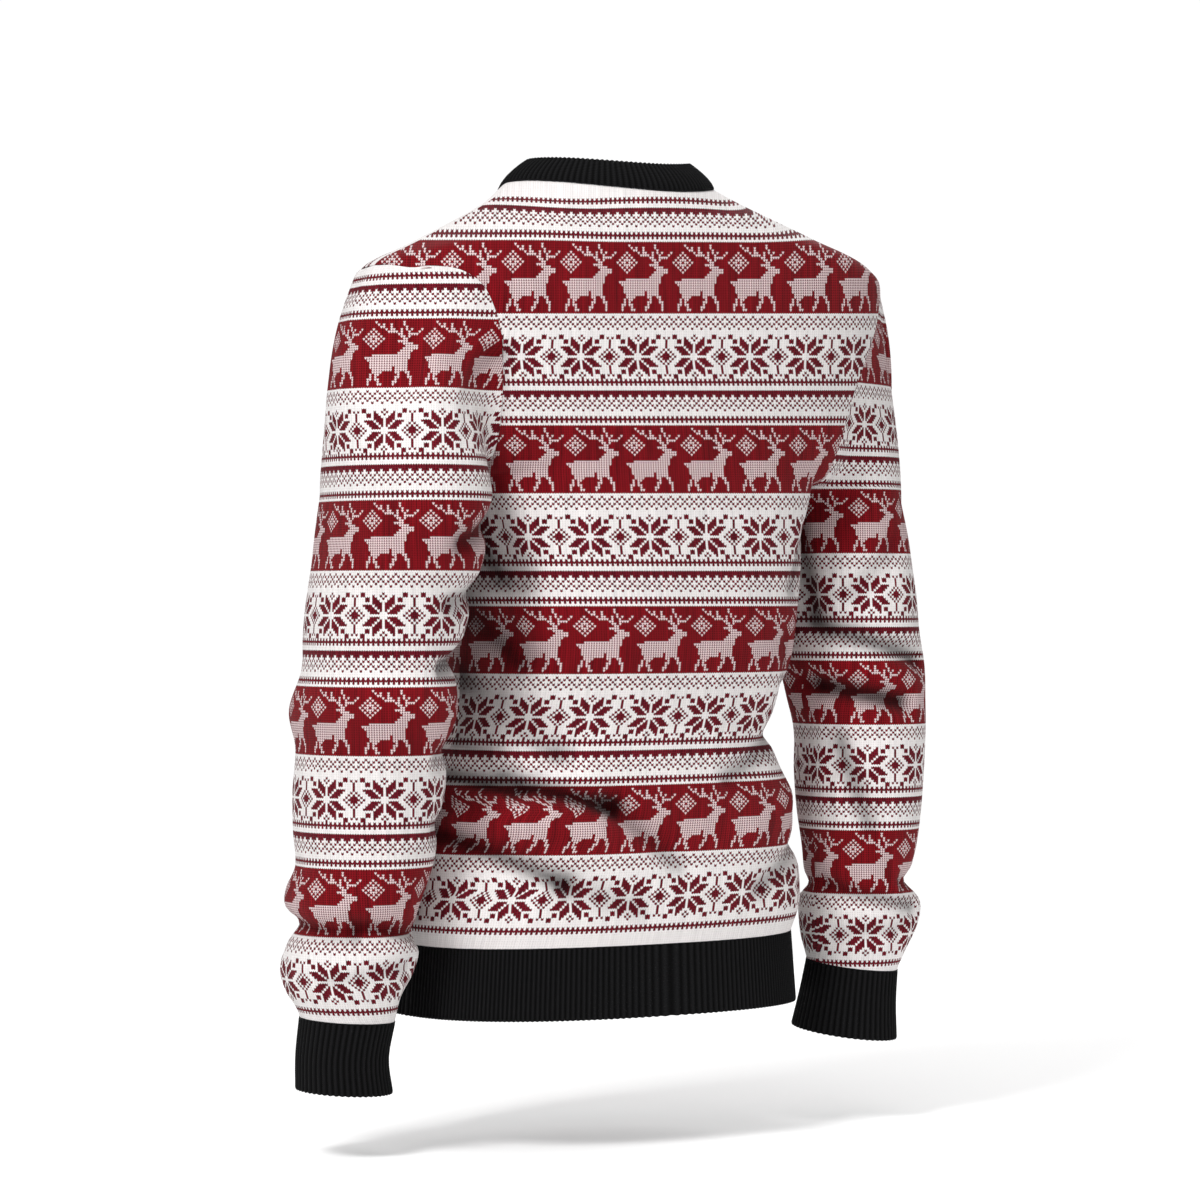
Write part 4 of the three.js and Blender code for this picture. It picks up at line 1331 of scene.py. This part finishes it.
        # Painted fold shadow, from how deep the creases press in.
        hollow = hollow_share(self.form.push(np.broadcast_to(turns, points.shape[:2]), points[..., 2]))
        grid = ClothGrid(drawn, inner, stitches, True, hollow)
        if self.form.side is Side.RIGHT:
            flip = np.concatenate([[0], np.arange(points.shape[1] - 1, 0, -1)])
            turned = stitches[:, ::-1]
            grid = ClothGrid(drawn[:, flip], inner[:, flip], turned, True, hollow[:, flip])
        piece = add_piece(self.node + "_knit", grid.mesh(self.node + "_knit"), finish)
        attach(piece, "root")
        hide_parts(self.node)
        LOG.info("%s: %d faces", piece.name, len(piece.data.polygons))
        return piece


# Repeated details


class Repeats:
    """Geometry Nodes trees for what repeats: the ribs of a band and the stitches of a seam."""

    @staticmethod
    def new_tree(name: str, inputs: tuple[tuple[str, str], ...]) -> bpy.types.NodeTree:
        """Tree with a geometry input and output and its named inputs.

        Args:
            name: Name of the tree.
            inputs: Name and socket type of each input.

        Returns:
            The tree, holding only its two ends.
        """
        tree = bpy.data.node_groups.new(name, "GeometryNodeTree")
        tree.interface.new_socket("Geometry", in_out="INPUT", socket_type="NodeSocketGeometry")
        for label, kind in inputs:
            tree.interface.new_socket(label, in_out="INPUT", socket_type=kind)
        tree.interface.new_socket("Geometry", in_out="OUTPUT", socket_type="NodeSocketGeometry")
        tree.nodes.new("NodeGroupInput")
        tree.nodes.new("NodeGroupOutput")
        return tree

    @classmethod
    def finish_tree(cls, n: NodeSheet, geometry: bpy.types.NodeSocket, yarn: bpy.types.NodeSocket) -> None:
        """Ends a tree in Realize Instances and Set Material."""
        real = n.node("GeometryNodeRealizeInstances")
        n.feed(real.inputs[0], geometry)
        dressed = n.node("GeometryNodeSetMaterial")
        n.feed(dressed.inputs["Geometry"], real.outputs[0])
        n.feed(dressed.inputs["Material"], yarn)
        end = next(node for node in n.tree.nodes if node.type == "GROUP_OUTPUT")
        n.feed(end.inputs[0], dressed.outputs[0])

    @classmethod
    def ribs(cls) -> bpy.types.NodeTree:
        """Tree that raises round ribs on the outer face of a plain band."""
        tree = cls.new_tree("band_ribs", (
            ("Ribs", "NodeSocketFloat"), ("Height", "NodeSocketFloat"), ("Yarn", "NodeSocketMaterial"),
        ))
        n = NodeSheet(tree)
        start = next(node for node in tree.nodes if node.type == "GROUP_INPUT")
        around = n.node("GeometryNodeInputNamedAttribute", data_type="FLOAT")
        around.inputs["Name"].default_value = "around"
        proud = n.node("GeometryNodeInputNamedAttribute", data_type="FLOAT")
        proud.inputs["Name"].default_value = "proud"
        phase = n.math("MULTIPLY", around.outputs[0], start.outputs["Ribs"])
        crest = n.math("MULTIPLY_ADD", n.math("COSINE", n.math("MULTIPLY", phase, 2 * math.pi)), 0.5, 0.5)
        rise = n.math("MULTIPLY", n.math("POWER", crest, 0.8), start.outputs["Height"])
        rise = n.math("MULTIPLY", rise, proud.outputs[0])
        push = n.node("ShaderNodeVectorMath", operation="SCALE")
        n.feed(push.inputs[0], n.node("GeometryNodeInputNormal").outputs[0])
        n.feed(push.inputs["Scale"], rise)
        place = n.node("GeometryNodeSetPosition")
        n.feed(place.inputs["Geometry"], start.outputs["Geometry"])
        n.feed(place.inputs["Offset"], push.outputs[0])
        cls.finish_tree(n, place.outputs[0], start.outputs["Yarn"])
        return tree

    @classmethod
    def seam(cls) -> bpy.types.NodeTree:
        """Tree that lays small stitches head to tail along a line."""
        tree = cls.new_tree("seam_stitches", (
            ("Pitch", "NodeSocketFloat"), ("Length", "NodeSocketFloat"), ("Width", "NodeSocketFloat"),
            ("Seed", "NodeSocketInt"), ("Yarn", "NodeSocketMaterial"),
        ))
        n = NodeSheet(tree)
        start = next(node for node in tree.nodes if node.type == "GROUP_INPUT")
        line = n.node("GeometryNodeMeshToCurve")
        n.feed(line.inputs[0], start.outputs["Geometry"])
        spaced = n.node("GeometryNodeResampleCurve")
        spaced.mode = "LENGTH"
        n.feed(spaced.inputs["Curve"], line.outputs[0])
        n.feed(spaced.inputs["Length"], start.outputs["Pitch"])
        bead = n.node("GeometryNodeMeshUVSphere")
        bead.inputs["Segments"].default_value = 6
        bead.inputs["Rings"].default_value = 4
        bead.inputs["Radius"].default_value = 0.5
        shaped = n.node("GeometryNodeTransform")
        n.feed(shaped.inputs["Geometry"], bead.outputs[0])
        n.feed(shaped.inputs["Scale"], n.vector(
            start.outputs["Width"], start.outputs["Width"], start.outputs["Length"]))
        tangent = n.node("GeometryNodeInputTangent")
        aim = n.node("FunctionNodeAlignRotationToVector", axis="Z")
        n.feed(aim.inputs["Vector"], tangent.outputs[0])
        chance = n.node("FunctionNodeRandomValue", data_type="FLOAT")
        chance.inputs[2].default_value = 0.88
        chance.inputs[3].default_value = 1.1
        n.feed(chance.inputs["Seed"], start.outputs["Seed"])
        laid = n.node("GeometryNodeInstanceOnPoints")
        n.feed(laid.inputs["Points"], spaced.outputs[0])
        n.feed(laid.inputs["Instance"], shaped.outputs[0])
        n.feed(laid.inputs["Rotation"], aim.outputs[0])
        n.feed(laid.inputs["Scale"], chance.outputs[1])
        cls.finish_tree(n, laid.outputs[0], start.outputs["Yarn"])
        return tree

    @staticmethod
    def bake(piece: bpy.types.Object, tree: bpy.types.NodeTree, values: dict[str, object]) -> None:
        """Runs a tree on a piece and keeps the result as its plain mesh.

        Args:
            piece: Piece that the tree works on.
            tree: Geometry Nodes tree.
            values: Value of each named input.
        """
        modifier = piece.modifiers.new("repeats", "NODES")
        modifier.node_group = tree
        for item in tree.interface.items_tree:
            if item.in_out == "INPUT" and item.name in values:
                modifier[item.identifier] = values[item.name]
        graph = bpy.context.evaluated_depsgraph_get()
        mesh = bpy.data.meshes.new_from_object(piece.evaluated_get(graph), depsgraph=graph)
        piece.modifiers.remove(modifier)
        old = piece.data
        piece.data = mesh
        mesh.name = piece.name
        bpy.data.meshes.remove(old)


@dataclass
class RibBand:
    """Ribbed band at the neck, hem or wrist."""

    node: str
    ribs: int
    levels: int
    flat: tuple[float, float]
    area: float
    height: float = 1.1
    per_rib: int = 8
    seam_first: bool = True

    def ring(self, turn: np.ndarray, down: float) -> np.ndarray:
        """Point of the plain band at a turn and a share of its depth."""
        raise NotImplementedError

    def seam_line(self) -> np.ndarray:
        """Closed line of the seam that holds the band, just proud of the cloth."""
        turn = np.linspace(0, 2 * math.pi, 4 * self.ribs, endpoint=False)
        end = 0.0 if self.seam_first else 1.0
        line = self.ring(turn, end)
        out = unit((np.roll(line, -1, axis=0) - np.roll(line, 1, axis=0))[:, [1, 0, 2]] * [1, -1, 0])
        out *= np.sign(np.sum(out * (line - line.mean(axis=0))))
        return line + out * 0.5

    def build(self, finish: bpy.types.Material, tree: bpy.types.NodeTree) -> bpy.types.Object:
        """Makes the band and hands it to the frame.

        Args:
            finish: Material of the band.
            tree: Tree that raises the ribs.

        Returns:
            The band.
        """
        count = self.ribs * self.per_rib
        around = np.arange(count) / count
        downs = even_steps(0.0, 1.0, self.levels + 1, 0.02)
        points = np.stack([self.ring(around * 2 * math.pi, down) for down in downs])
        normals = grid_normals(points, True)
        centre = points.mean(axis=(0, 1))
        if np.sum(normals * (points - centre)) < 0:
            points = np.roll(points[:, ::-1], 1, axis=1)
            normals = grid_normals(points, True)
        for line in (0, -1):
            normals[line, :, 2] = 0.0
            normals[line] = unit(normals[line])
        drawn = draw_in(points, True, SEAM_GAP / 2)
        far = np.linalg.norm(np.diff(points, axis=0), axis=-1).mean(axis=1)
        depth = np.concatenate([[0.0], np.cumsum(far)])
        ribs = np.arange(count + 1) / self.per_rib
        stitches = np.stack(np.broadcast_arrays(ribs[None, :], depth[:, None]), axis=-1)
        grid = ClothGrid(drawn, drawn - WALL * normals, stitches, True)
        name = self.node + "_bands"
        mesh = grid.mesh(name)
        rows = len(downs)
        share = np.tile(np.arange(count) / count, rows * 2).astype(np.float32)
        mesh.attributes.new("around", "FLOAT", "POINT").data.foreach_set("value", share)
        fade = np.where(np.minimum(downs, 1 - downs) < 0.01, 0.75, 1.0)
        proud = np.concatenate([np.repeat(fade, count), np.zeros(rows * count)]).astype(np.float32)
        mesh.attributes.new("proud", "FLOAT", "POINT").data.foreach_set("value", proud)
        piece = add_piece(name, mesh, finish)
        Repeats.bake(piece, tree, {"Ribs": float(self.ribs), "Height": self.height * MM, "Yarn": finish})
        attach(piece, "root")
        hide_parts(self.node)
        LOG.info("%s: %d faces", piece.name, len(piece.data.polygons))
        return piece


@dataclass
class NeckBand(RibBand):
    """Collar band, leaning in from the neck seam."""

    rise: tuple[float, float, float, float, float, float] = (-21, -19, -16, 20, 24, 17)
    lift: float = 0.45

    def ring(self, turn: np.ndarray, down: float) -> np.ndarray:
        """Point of the plain collar, from its free edge down to its seam."""
        up = 1.0 - down
        half_in, back_in, front_in, side_up, back_up, front_up = self.rise
        c, s = np.cos(turn), np.sin(turn)
        lean = up**1.5
        first = {name: float(BODY.at(name, np.array([NECK_ROW]))[0]) for name in BODY.columns[1:]}
        deep = np.where(s > 0, first["back"] + back_in * lean, first["front"] + front_in * lean)
        face_z = np.where(s > 0, first["back_z"] + back_up * up, first["front_z"] + front_up * up)
        side_z = np.where(c > 0, first["left_z"], first["right_z"]) + side_up * up
        x = first["x"] + (first["half"] + half_in * lean) * c
        return np.stack([x, first["y"] + deep * s, self.lift + face_z + (side_z - face_z) * c * c], axis=-1)


@dataclass
class HemBand(RibBand):
    """Hem band, hanging from the body's last row."""

    low: tuple[float, float, float, float] = (183, 121, 124, -689)
    inset: float = 0.6

    def ring(self, turn: np.ndarray, down: float) -> np.ndarray:
        """Point of the plain hem band."""
        seam = {name: float(BODY.at(name, np.array([HEM_ROW]))[0]) for name in BODY.columns[1:]}
        half, back, front, low_z = self.low
        c, s = np.cos(turn), np.sin(turn)
        power = 2 / seam["round"]
        wide = seam["half"] - self.inset + (half - seam["half"]) * down
        top = np.where(s > 0, seam["back"], seam["front"])
        low = np.where(s > 0, back, front)
        deep = top - self.inset + (low - top) * down
        side_z = np.where(c > 0, seam["left_z"], seam["right_z"])
        top_z = seam["back_z"] + (side_z - seam["back_z"]) * c * c
        x = seam["x"] + wide * np.sign(c) * np.abs(c) ** power
        y = seam["y"] + deep * np.sign(s) * np.abs(s) ** power
        return np.stack([x, y, top_z + (low_z - top_z) * down], axis=-1)


@dataclass
class WristBand(RibBand):
    """Cuff, hanging from the last ring of a sleeve."""

    form: ArmForm = LEFT_FORM
    rings: RingTable = LEFT_WRIST

    def ring(self, turn: np.ndarray, down: float) -> np.ndarray:
        """Point of the plain cuff."""
        top, low = self.rings.rows[0][0], self.rings.rows[-1][0]
        z = top + (low - top) * down
        rise_x, rise_y = self.form.slope[:2]
        dx = self.form.side.value * np.cos(turn) * self.rings.at("out", z)
        dy = np.sin(turn) * self.rings.at("deep", z)
        x, y = self.rings.at("x", z) + dx, self.rings.at("y", z) + dy
        return np.stack([x, y, z + rise_x * dx + rise_y * dy], axis=-1)


@dataclass
class SeamLine:
    """Row of small stitches along a seam."""

    name: str
    slot: str
    points: np.ndarray
    pitch: float = 2.1
    length: float = 2.7
    width: float = 1.3
    seed: int = 3

    def build(self, finish: bpy.types.Material, tree: bpy.types.NodeTree) -> bpy.types.Object:
        """Makes the stitches and hands them to the frame.

        Args:
            finish: Material of the yarn.
            tree: Tree that lays the stitches.

        Returns:
            The row of stitches.
        """
        count = len(self.points)
        links = [(k, (k + 1) % count) for k in range(count)]
        mesh = bpy.data.meshes.new(self.name)
        mesh.from_pydata((self.points * MM).tolist(), links, [])
        piece = add_piece(self.name, mesh, finish)
        Repeats.bake(piece, tree, {
            "Pitch": self.pitch * MM, "Length": self.length * MM, "Width": self.width * MM,
            "Seed": self.seed, "Yarn": finish,
        })
        piece.data.polygons.foreach_set("use_smooth", np.ones(len(piece.data.polygons), dtype=bool))
        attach(piece, "root")
        LOG.info("%s: %d faces", piece.name, len(piece.data.polygons))
        return piece


# Stage


@dataclass
class Stage:
    """Pale floor, soft light and the camera at the photo's viewing angle."""

    distance: float = 3.4
    focal: float = 120.72
    height: float = -0.346
    aside: float = -0.00845
    floor: float = -0.80
    reach: float = 1.7
    ambient: float = 0.32

    def camera(self) -> None:
        """Makes the camera."""
        data = bpy.data.cameras.new("view")
        data.lens = self.focal
        data.sensor_width = 36.0
        data.clip_start, data.clip_end = 0.05, 50.0
        camera = bpy.data.objects.new("view", data)
        bpy.context.scene.collection.objects.link(camera)
        place = TO_CAMERA * self.distance + PICTURE_RIGHT * self.aside
        camera.location = (place[0], place[1], self.height)
        camera.rotation_euler = (math.pi / 2, 0.0, math.pi - VIEW_ANGLE)
        bpy.context.scene.camera = camera

    def light(self, name: str, angle: float, lift: float, far: float, size: float, watts: float) -> None:
        """Soft panel light aimed at the pullover.

        Args:
            name: Name of the light.
            angle: Degrees round Z from the camera, towards the picture's right.
            lift: Height in metres.
            far: Distance in metres.
            size: Side of the panel in metres.
            watts: Power.
        """
        data = bpy.data.lights.new(name, "AREA")
        data.energy, data.size = watts, size
        lamp = bpy.data.objects.new(name, data)
        bpy.context.scene.collection.objects.link(lamp)
        turn = math.radians(angle)
        away = TO_CAMERA * math.cos(turn) + PICTURE_RIGHT * math.sin(turn)
        lamp.location = (away[0] * far, away[1] * far, lift)
        aim = np.array([0.0, 0.0, self.height]) - np.array(lamp.location)
        lamp.rotation_euler = (
            math.acos(-aim[2] / np.linalg.norm(aim)), 0.0, math.atan2(aim[1], aim[0]) - math.pi / 2,
        )

    def build(self) -> None:
        """Makes the floor, the world, the lights and the camera."""
        world = bpy.data.worlds.new("studio")
        bpy.context.scene.world = world
        world.use_nodes = True
        n = NodeSheet(world.node_tree)
        sky = world.node_tree.nodes["Background"]
        sky.inputs[0].default_value = (1.0, 1.0, 1.0, 1.0)
        seen = n.node("ShaderNodeLightPath").outputs["Is Camera Ray"]
        n.feed(sky.inputs[1], n.math("MULTIPLY_ADD", seen, 0.7, self.ambient))
        bpy.context.scene.view_settings.view_transform = "Standard"
        mesh = bpy.data.meshes.new("floor")
        turns = [2 * math.pi * k / 96 for k in range(96)]
        rim = [(self.reach * math.cos(turn), self.reach * math.sin(turn), self.floor) for turn in turns]
        mesh.from_pydata(rim, [], [tuple(range(96))])
        material, _, shader = new_material("pale_floor")
        shader.inputs["Base Color"].default_value = (0.9, 0.9, 0.9, 1.0)
        shader.inputs["Roughness"].default_value = 0.95
        shader.inputs["Emission Color"].default_value = (1.0, 1.0, 1.0, 1.0)
        shader.inputs["Emission Strength"].default_value = 0.3
        add_piece("floor", mesh, material)
        self.light("key", -30.0, 2.0, 2.6, 0.9, 86.0)
        self.light("fill", 50.0, 0.4, 3.2, 2.2, 15.0)
        self.light("top", 10.0, 2.6, 1.4, 1.6, 20.0)
        self.light("rear", 165.0, 1.2, 3.0, 1.8, 45.0)
        self.camera()


def main() -> None:
    """Builds the pullover's pieces in order, then the stage."""
    logging.basicConfig(level=logging.INFO, format="%(name)s %(message)s")
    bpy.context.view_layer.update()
    knit = BandedKnit().build("banded_knit")
    rib = RibKnit().build("black_rib")
    rib_tree, seam_tree = Repeats.ribs(), Repeats.seam()
    panels = [
        BodyPanel(Face.BACK, "back_panel", 120, 5, (0.62, 0.66), 0.29, BODY_HEIGHTS, BACK_PITCHES, BACK_DRIFT),
        BodyPanel(
            Face.FRONT, "front_panel", 110, 5, (0.62, 0.60), 0.28, BODY_HEIGHTS, FRONT_PITCHES, FRONT_DRIFT,
        ),
    ]
    sleeves = [
        Sleeve(LEFT_FORM, "left_sleeve", 44, 5, (0.47, 0.60), 0.225, LEFT_HEIGHTS),
        Sleeve(RIGHT_FORM, "right_sleeve", 44, 5, (0.44, 0.58), 0.195, RIGHT_HEIGHTS),
    ]
    bands = [
        NeckBand("neck_rib", 110, 5, (0.53, 0.031), 0.016, seam_first=False),
        HemBand("hem_rib", 226, 8, (0.97, 0.06), 0.057),
        WristBand("left_cuff", 50, 8, (0.25, 0.06), 0.0145, form=LEFT_FORM, rings=LEFT_WRIST),
        WristBand("right_cuff", 52, 8, (0.27, 0.06), 0.0158, form=RIGHT_FORM, rings=RIGHT_WRIST),
    ]
    for sheet in (*panels, *sleeves):
        piece = sheet.build(knit)
    yarn = SeamYarn().build("seam_yarn")
    for band in bands:
        piece = band.build(rib, rib_tree)
        stitches = SeamLine(band.node + "_seam", "black_rib", band.seam_line()).build(yarn, seam_tree)
    Stage().build()


if __name__ == "__main__":
    main()
